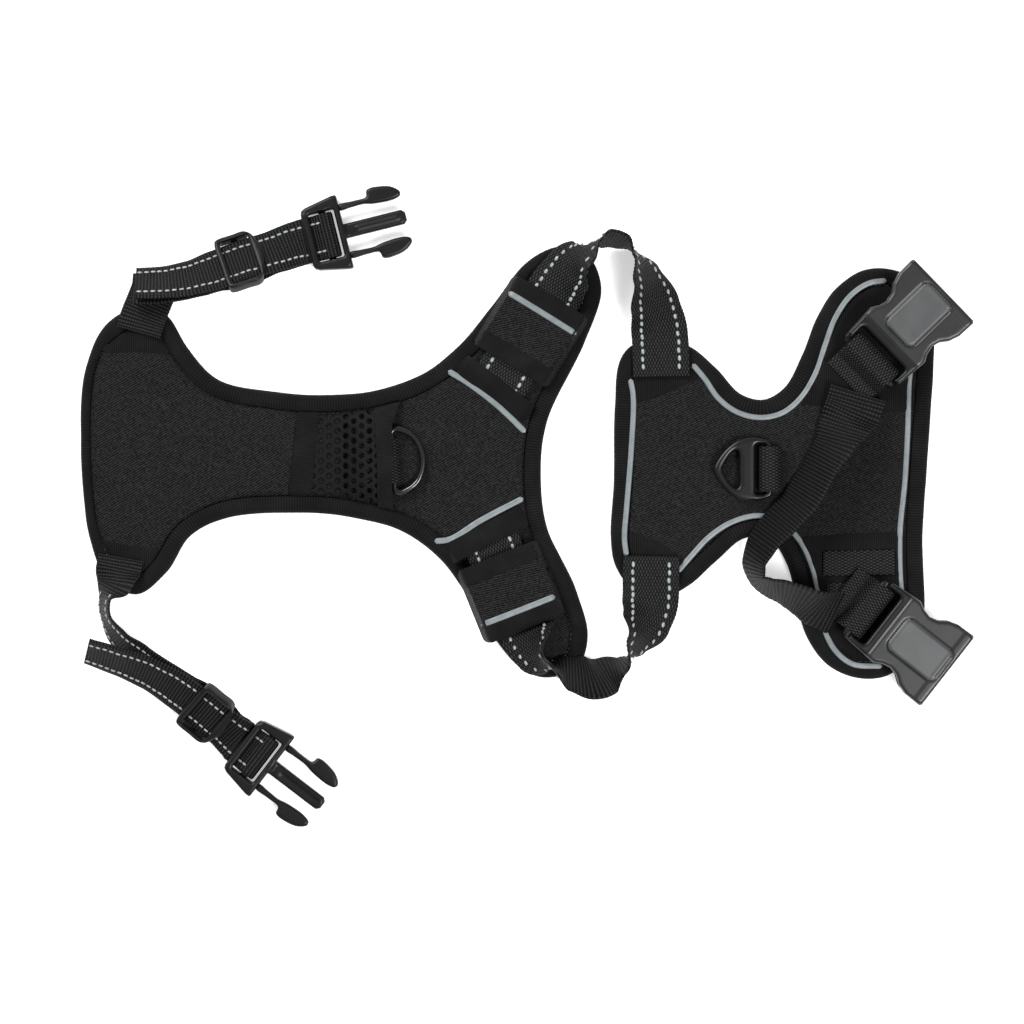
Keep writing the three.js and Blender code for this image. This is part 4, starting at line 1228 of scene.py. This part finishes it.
# ---------------------------------------------------------------- sockets and the webbing that holds them
# Side-release sockets of dark grey acetal, hollow, with finger cuts at both sides and a rounded line
# sunk in the top. Each is held by a loop of neck-width webbing sewn to the back panel.
def acetal(name, dark, light, roughness, shine):
    """Moulded plastic, a little cloudy, with a fine spark-eroded grain."""
    finish, tree, shader = new_finish(name, roughness, shine=shine)
    place = place_of(tree)[2]
    tint = between(tree, blotches(tree, place, 0.009), dark, light, 0.3, 0.7)
    tree.links.new(tint, shader.inputs["Base Color"])
    relief(tree, shader, blotches(tree, place, 0.00045, 2.0), 0.05, 0.35)
    return finish


# The grey finish is the acetal's dark grey plus a painted reflection of the soft box, put on each socket's
# top panel only.
socket_top_painted_reflection = acetal("buckle_acetal_top_painted_reflection", (0.040, 0.0425, 0.0435), (0.054, 0.057, 0.058), 0.45, 0.5)
socket_dark = acetal("buckle_acetal_rim", (0.008, 0.0083, 0.0086), (0.013, 0.0133, 0.0137), 0.36, 0.42)
plug_plastic = acetal("buckle_acetal_dark", (0.003, 0.003, 0.0032), (0.005, 0.005, 0.0053), 0.36, 0.24)


def cut_away(piece, x0, x1, half, z0, z1, place):
    """Cuts a box-shaped hollow, given in the piece's own axes, out of a moulded piece."""
    corners = np.array([(x, y, z) for x in (x0, x1) for y in (-half, half) for z in (z0, z1)], float)
    quads = [(0, 1, 3, 2), (4, 6, 7, 5), (0, 4, 5, 1), (2, 3, 7, 6), (0, 2, 6, 4), (1, 5, 7, 3)]
    tool = make_piece("cutter", place(corners), quads, [plug_plastic])
    pick(piece)
    cut = piece.modifiers.new("cut", "BOOLEAN")
    cut.operation = "DIFFERENCE"
    cut.solver = "EXACT"
    cut.object = tool
    bpy.ops.object.modifier_apply(modifier="cut")
    bpy.data.objects.remove(tool, do_unlink=True)


def box_reach(x, y, cx, cy, half_x, half_y, radius):
    """Signed distance to the edge of a rounded rectangle."""
    dx, dy = np.abs(x - cx) - half_x + radius, np.abs(y - cy) - half_y + radius
    return np.hypot(np.maximum(dx, 0), np.maximum(dy, 0)) + np.minimum(np.maximum(dx, dy), 0) - radius


SIDE = [(0, 18.5), (-0.8, 19.3), (-9, 19.1), (-13.5, 17.7), (-17, 15.1), (-21, 14.1), (-25, 15.1),
        (-28, 16.9), (-32, 16.7), (-40, 16.2), (-45.5, 15.6),
        (-47, 13.8)]
socket_outline = closed_even(np.array(SIDE + [(x, -y) for x, y in SIDE[::-1]]), 0.9)
socket_slot = round_box(-43, -36, -13.3, 13.3, 1.6, 0.8)


def inset_reach(x, y):
    """Signed distance to the rounded line in the socket's top."""
    return box_reach(x, y, -15.6, 0, 12.8, 8.2, 3.0)


def socket_relief(x, y, e):
    """What the socket's top has more or less than a plain one: the line, the rim, the lower rear bar."""
    groove = np.exp(-(inset_reach(x, y) / 0.42) ** 2)
    band = 0.25 * soft_step((x + 4.6) / 0.5)
    rear = -3.3 * (1 - soft_step((x + 44.2) / 1.6))
    frame_step = -0.7 * (1 - soft_step((x + 32.5) / 1.0))
    return -0.75 * groove + band - 0.25 + rear + frame_step


def socket_under(x, y, e):
    rear = 4.3 * (1 - soft_step((x + 44.2) / 1.6))
    return -(4.0 + round_edge(e, 1.5)) + rear


SOCKET_PATH = [(-58, -6.9), (-48, -6.9), (-43, -2.9), (-40.6, -2.2), (-39.4, 0.6), (-40.4, 3.2), (-43, 4),
               (-47.4, 3.8), (-50, 0), (-51.6, -4.1),
               (-58, -5.1)]
SOCKETS = {"upper": (183.1, 94.4, 14.2, 44), "lower": (184.7, -72.4, 14.2, -38)}
for end, (x, y, z, turn) in SOCKETS.items():
    place = in_place(x, y, turn, z)
    socket = moulded(f"socket_body_{end}", [socket_outline, socket_slot], 11, socket_top_painted_reflection, 1.5, 0.75,
                     place, socket_relief, socket_under)
    cut_away(socket, -30, 2, 12.4, -3, 3, place)
    cut_away(socket, -26, -12, 22, -3, 3, place)
    for finish in (socket_dark, plug_plastic):
        socket.data.materials.append(finish)
    centres = np.array([tuple(face.center) for face in socket.data.polygons]) / MM
    up = np.array([face.normal.z for face in socket.data.polygons])
    cosine, sine = math.cos(math.radians(turn)), math.sin(math.radians(turn))
    own_x = (centres[:, 0] - x) * cosine + (centres[:, 1] - y) * sine
    own_y = (centres[:, 1] - y) * cosine - (centres[:, 0] - x) * sine
    # Up-facing faces inside the sunk line take the lighter finish, a painted reflection; the rear frame takes
    # the black one and the rest the rim finish.
    inset = (inset_reach(own_x, own_y) < 0.1) & (up > 0.5)
    tone = np.where(inset, 0, np.where(own_x < -32.6, 2, 1))
    socket.data.polygons.foreach_set("material_index", tone.astype(np.int32))
    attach(socket, f"socket_{end}")
    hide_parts(f"socket_{end}")
    loop = webbing(f"socket_web_{end}", loop_frames(SOCKET_PATH, x, y, z, turn), WIDE, THICK,
                   [dotted_web, dotted_web, thread], dots_and_dots)
    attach(loop, "back")
    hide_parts(f"socket_loop_{end}")

# Two lengths of the same webbing are sewn flat across the lower corner patch, under the socket's loop.
for name, line in (("upper", [(131, -25.2), (146, -25.0), (162.5, -24.6)]),
                   ("lower", [(133, -39.5), (140, -39.3), (147, -39.0)])):
    ground = on_back_face(*np.array(line[1:2]).T)[0]
    route = [(x, y, ground + 0.95, 0) for x, y in line]
    strip = webbing(f"back_reinforcing_web_{name}", strap_frame(route, even_shares(route, 0.6)), 11.0, 0.8,
                    [dotted_web, dotted_web, thread], dots_and_dots)
    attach(strip, "back")

# ---------------------------------------------------------------- handle
# A grab loop of soft tubular webbing, sewn down at both ends across the socket webbing. It has fallen over
# to the left, so its inner edge stands high.
HANDLE_ROW = 1.65
HANDLE_GAP = 1.5
handle_web = webbing_finish("handle_webbing", HANDLE_ROW, HANDLE_GAP, True, (0.020, 0.020, 0.0204))
HANDLE = [(146, 49.6, 11.5, 0), (143.6, 42, 11.8, -6), (139.6, 34.6, 14.5, -34), (135, 27, 17, -50),
          (129.2, 17.6, 17.4, -57), (120.8, 3.5, 17, -54), (112.2, -6.3, 17, -56), (103.8, -16, 17.2, -61),
          (100, -25, 16, -70), (101.8, -32.6, 15, -78), (107.2, -36, 15.6, -72), (114.4, -38.6, 17.2, -64),
          (122, -42, 17.6, -58), (129.5, -45, 15.4, -48),
          (136.5, -46.6, 13.6, -38)]


def fine_ribs(u, v):
    rib = 0.13 * np.cos(2 * math.pi * u / HANDLE_ROW) + 0.07 * np.cos(2 * math.pi * v / HANDLE_GAP)
    return rib, rib


HALVES = {"upper": (0.0, 0.5, ("handle_anchor_upper", "handle"), (0.1452, 0.0460, 0.0115),
                    (0.1345, 0.0262, 0.0165)),
          "lower": (0.5, 1.0, ("handle_anchor_lower",), (0.1330, -0.0463, 0.0120), (0.1145, -0.0386, 0.0165))}
for name, (first, last, nodes, start, end) in HALVES.items():
    frames = strap_frame(HANDLE, even_shares(HANDLE, 0.55, first, last))
    piece = webbing(f"handle_{name}", frames, WIDE, 1.5, [handle_web, handle_web, thread], fine_ribs,
                    grain=(0.55, 0.5))
    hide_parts(*nodes)
    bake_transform(piece)

# ---------------------------------------------------------------- plugs of the side-release buckles
# Dark acetal: a frame with two slots for the webbing, a thin guide in the middle, and two springy arms with
# leaf-shaped latch pads.
PLUG_AT = {"upper": ((-79.6481, 120.8885, 4.6926), (0.9702, 0.242, 0.0079), (-0.2416, 0.9698, -0.0349)),
           "lower": ((-111.5484, -114.6967, 4.7961), (0.7947, -0.6069, 0.0053), (0.6059, 0.7938, 0.0523))}
plug_outline = closed_even(np.array([
    (0.2, 16.0), (-0.3, 16.5), (-2, 16.5), (-14.5, 14.0), (-16.4, 13.0), (-17, 11.5), (-17, -11.5),
    (-16.4, -13.0), (-14.5, -14.0), (-2, -16.5), (-0.3, -16.5), (0.2, -16.0), (0.2, -3.2), (26.5, -3.2),
    (28, -1.7), (28, 1.7), (26.5, 3.2), (0.2, 3.2)]), 0.9)
plug_slots = [round_box(-13.8, -9.2, -10.8, 10.8, 0.8, 0.8), round_box(-6.4, -2.4, -10.8, 10.8, 0.8, 0.8)]
arm_outline = [(0.0, 9.6), (0.0, 12), (7, 12.15), (12.6, 12.4), (13.2, 13.4), (13.6, 15.2), (15.5, 15.9),
               (18.5, 15.8), (24, 14.6), (27.2, 12.4), (28, 11.2), (27.6, 9.6), (25.4, 8.7), (22, 8.4),
               (15, 8.9), (11, 9.7), (5, 9.6)]


def bar_share(x, y):
    """1 within the width of the slots, where the bars lie, and 0 on the side rails."""
    return soft_step((11.3 - np.abs(y)) / 0.7)


def inner_bar(x, y):
    return soft_step((x + 9.6) / 0.4) * (1 - soft_step((x + 6.4) / 0.4)) * bar_share(x, y)


def guide(x):
    """1 on the thin guide between the arms."""
    return soft_step((x - 0.1) / 0.9)


def plug_over(x, y, e):
    """The frame's top, with its inner bar sunk, and a channel along the guide."""
    channel = 0.55 * soft_step((x - 4) / 2) * (1 - soft_step((x - 24) / 2)) * np.exp(-(y / 1.0) ** 2)
    return 2.4 + round_edge(e, 1.2) - 2.8 * inner_bar(x, y) - 1.3 * guide(x) - channel


def plug_below(x, y, e):
    """The frame's underside, cut back under both bars."""
    outer_bar = (1 - soft_step((x + 13.8) / 0.4)) * bar_share(x, y)
    return -2.4 - round_edge(e, 1.2) + 4.95 * outer_bar + 2.1 * inner_bar(x, y) + 1.3 * guide(x)


for end, at in PLUG_AT.items():
    place = frame_place(*at)
    plug = pillow(f"plug_body_{end}", [plug_outline, *plug_slots], 0.9, plug_over, plug_below, plug_plastic,
                  rings=(0.12, 0.4, 0.8, 1.2), angle=50, move=place)
    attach(plug, f"plug_{end}")
    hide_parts(f"plug_{end}_frame")
    for side, sign in (("left", 1), ("right", -1)):
        outline = smooth_loop([(x, y * sign) for x, y in arm_outline][::sign], 0.7)
        arm = moulded(f"plug_arm_{end}_{side}", [outline], 4.4, plug_plastic, 1.3, 0.9, place)
        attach(arm, f"plug_{end}_arm_{side}")
        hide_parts(f"plug_{end}_arm_{side}")

# ---------------------------------------------------------------- belly straps
# Black webbing, 20 mm wide, sewn to the corners of the chest panel. Each runs to its plug, round the plug's
# inner bar and back over itself through a slider, to a free hemmed end.
BELLY_WEB = 20.0
BELLY_THICK = 1.3
BELLY_STITCH = (3.7, 3.0, 2.2, 1.0)
BELLY_STEP = 0.6
BELLY = {
    "upper": {
        "top": [(-171, 97.6, 10.6, 46), (-160, 98, 10.4, 44), (-148, 99.8, 10, 38), (-136, 103.6, 9.4, 28),
                (-125, 107.6, 9, 26), (-113, 111.2, 8, 23), (-99, 116, 5.4, 9), (-88, 118.8, 4.7, 2),
                (-78, 121.3, 4.7, 2)],
        "start": [(-173, 95.6, 8.6, 46), (-169, 95.5, 8.5, 46), (-160, 96, 8.3, 44)],
        "join": 2},
    "lower": {
        "top": [(-192.4, -63.4, 11.2, -54), (-180, -67.6, 11, -50), (-166, -73, 10.4, -42),
                (-151, -82.2, 9.8, -33), (-139.8, -91.4, 9.6, -31), (-132, -97.8, 8.3, -27),
                (-124.5, -104.4, 5.2, -7), (-117, -110.5, 4.8, -3),
                (-110.5, -115.5, 4.8, -3)],
        "start": [(-178.0, -22.6, 7.0, 0), (-178.8, -27, 7.3, 0), (-180.6, -34.2, 9.6, -36),
                  (-184.6, -41, 11, -72), (-184.2, -48.6, 10.8, -74), (-178.6, -58.2, 10.2, -62),
                  (-169.6, -66.4, 9.6, -50)],
        "join": 3}}
PLUG_PATH = [(-18.8, 0.3), (-14, 0.3), (-11.8, 0.4), (-10.2, 1.5), (-8.2, 2.3), (-5.6, 2.3), (-4.2, 1),
             (-4.2, -1), (-5.6, -2.6), (-8.6, -2.5), (-12, -1.7),
             (-19.2, -1.7)]


def stacked(*parts):
    """Joins runs of strap frames into one."""
    return tuple(np.concatenate([p[i] for p in parts]) for i in range(4))


def reversed_run(frames):
    """The same run of webbing taken from its other end, with its face turned over."""
    place, ahead, left, out = frames
    return place[::-1], -ahead[::-1], left[::-1], -out[::-1]


def cut_run(frames, first, last):
    return tuple(part[first:last] for part in frames)


for end, belly in BELLY.items():
    top = belly["top"]
    spans = len(top) - 1
    shares = even_shares(top, BELLY_STEP)
    plug_place = frame_place(*PLUG_AT[end])

    # the top layer, a little raised, as far as the plug's outer bar
    place, ahead, left, out = strap_frame(top, shares)
    bend_at = plug_place(np.array([[-19.0, 0, 0]]))[0]
    stop = int(np.argmin(np.linalg.norm(place + out * 0.3 - bend_at, axis=1)))
    upper = cut_run((place + out * 0.3, ahead, left, out), 0, stop)

    # round the plug's inner bar
    path = even_line([(a, 0, h) for a, h in PLUG_PATH], 0.5)
    way = np.gradient(path, axis=0)
    way /= np.linalg.norm(way, axis=1)[:, None]
    axes = plug_place(np.eye(3)) - plug_place(np.zeros((1, 3)))
    across = np.tile(axes[1], (len(path), 1))
    round_bar = plug_place(path), way @ axes, across, np.cross(way @ axes, across)

    # the second layer, under the first one, lowest where it passes the slider's middle bar
    stations = np.arange(belly["join"], shares[stop - 1] * spans, 0.5) / spans
    stations = np.append(stations, shares[stop - 1])
    place, ahead, left, out = strap_frame(top, stations)
    rolls = np.interp(stations * spans, np.arange(len(top)), np.array(top, float)[:, 3])
    dips = np.where(np.abs(stations * spans - 4) < 0.6, 2.2, 0)
    under = [(*(p + o * (-1.7 - dip)), roll) for p, o, dip, roll in zip(place, out, dips, rolls)]
    route = belly["start"] + under
    lower = strap_frame(route, even_shares(route, BELLY_STEP))

    finishes = [ribbed_web, ribbed_web, thread]
    if end == "upper":
        whole = stacked(upper, round_bar, reversed_run(lower))
        sewn_line = [(-170.2, 76.5, 7.0, 0), (-168.6, 82, 7.2, 0), (-165.4, 90, 7.2, 0),
                     (-163.6, 94.6, 7.2, 0)]
        sewn = strap_frame(sewn_line, even_shares(sewn_line, BELLY_STEP))
        anchor = webbing("belly_sewn_end_upper", sewn, BELLY_WEB, BELLY_THICK, finishes, ribs_and_dots)
        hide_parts("belly_anchor_upper")
        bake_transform(anchor)
    else:
        slider_at = int(np.argmin(np.linalg.norm(lower[0][:, :2] - np.array((-139.8, -91.4)), axis=1)))
        whole = stacked(upper, round_bar, reversed_run(cut_run(lower, slider_at, None)))
        sewn = cut_run(lower, 0, slider_at + 1)
        anchor = webbing("belly_sewn_end_lower", sewn, BELLY_WEB, BELLY_THICK, finishes, ribs_and_dots,
                         (*BELLY_STITCH, 17.0, None))
        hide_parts("belly_anchor_lower", "belly_strap_lower_run")
        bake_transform(anchor)
    strap = webbing(f"belly_webbing_{end}", whole, BELLY_WEB, BELLY_THICK, finishes, ribs_and_dots,
                    (*BELLY_STITCH, 0.0, len(upper[0]) * BELLY_STEP + 14))
    if end == "upper":
        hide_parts("belly_strap_upper_top", "belly_strap_upper_run", "belly_strap_upper_loop")
    else:
        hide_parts("belly_strap_lower_top", "belly_strap_lower_loop")
    flex = (plug_place(np.array([[-27.0, 0, -0.7], [-19.4, 0, -0.7]])) * MM).tolist()
    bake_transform(strap)

# ---------------------------------------------------------------- sliders
# Three-bar sliders of the same dark acetal. The webbing lies over the middle bar and under the outer two,
# of which the one toward the plug is bowed. Those of the neck straps are inside the sleeves.
SLIDER_AT = {"upper": ((-125, 107.6, 9), (0.9477, 0.3142, -0.0569), (-0.3065, 0.8453, -0.4377)),
             "lower": ((-139.8, -91.4, 9.6), (0.7709, -0.633, -0.0709), (0.5721, 0.6393, 0.5137))}
slider_outline = smooth_loop([(-9, 0), (-9, 9.9), (-8.3, 12.2), (-6.5, 12.9), (0, 12.9), (5, 12.9), (7.6, 11),
                              (9, 7.9), (10, 4), (10.2, 0), (10, -4), (9, -7.9), (7.6, -11), (5, -12.9),
                              (0, -12.9), (-6.5, -12.9), (-8.3, -12.2),
                              (-9, -9.9)], 0.8)
slider_window = round_box(-6.6, 6.6, -11.1, 11.1, 1.2, 0.8)


def slider_over(x, y, e):
    return 1.75 + round_edge(e, 0.9)


def slider_below(x, y, e):
    """Thin under the two outer bars, deep at the side rails."""
    return 1.3 - 3.7 * soft_step((np.abs(y) - 11.1) / 0.3)


def bar_over(x, y, e):
    return np.full(len(x), -1.35)


def bar_below(x, y, e):
    return np.full(len(x), -2.4)


for end, at in SLIDER_AT.items():
    tilt = frame_place(*at)
    place = lambda p, tilt=tilt: tilt(p + (0, 0, 0.3))
    slider = pillow(f"belly_slider_body_{end}", [slider_outline, slider_window], 0.9,
                    slider_over, slider_below, plug_plastic, rings=(0.1, 0.35, 0.9), angle=50, move=place)
    middle_bar = pillow("bar", [round_box(-1.5, 1.5, -11.6, 11.6, 0.5, 0.9)], 0.9, bar_over, bar_below,
                        plug_plastic, rings=(0.3,), angle=50, move=place)
    joined(slider, [middle_bar])
    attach(slider, f"belly_slider_{end}")
    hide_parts(f"belly_slider_{end}")
for end in ("upper", "lower"):
    hidden = bpy.data.objects[f"neck_slider_{end}"]
    hidden.data.materials.clear()
    hidden.data.materials.append(plug_plastic)
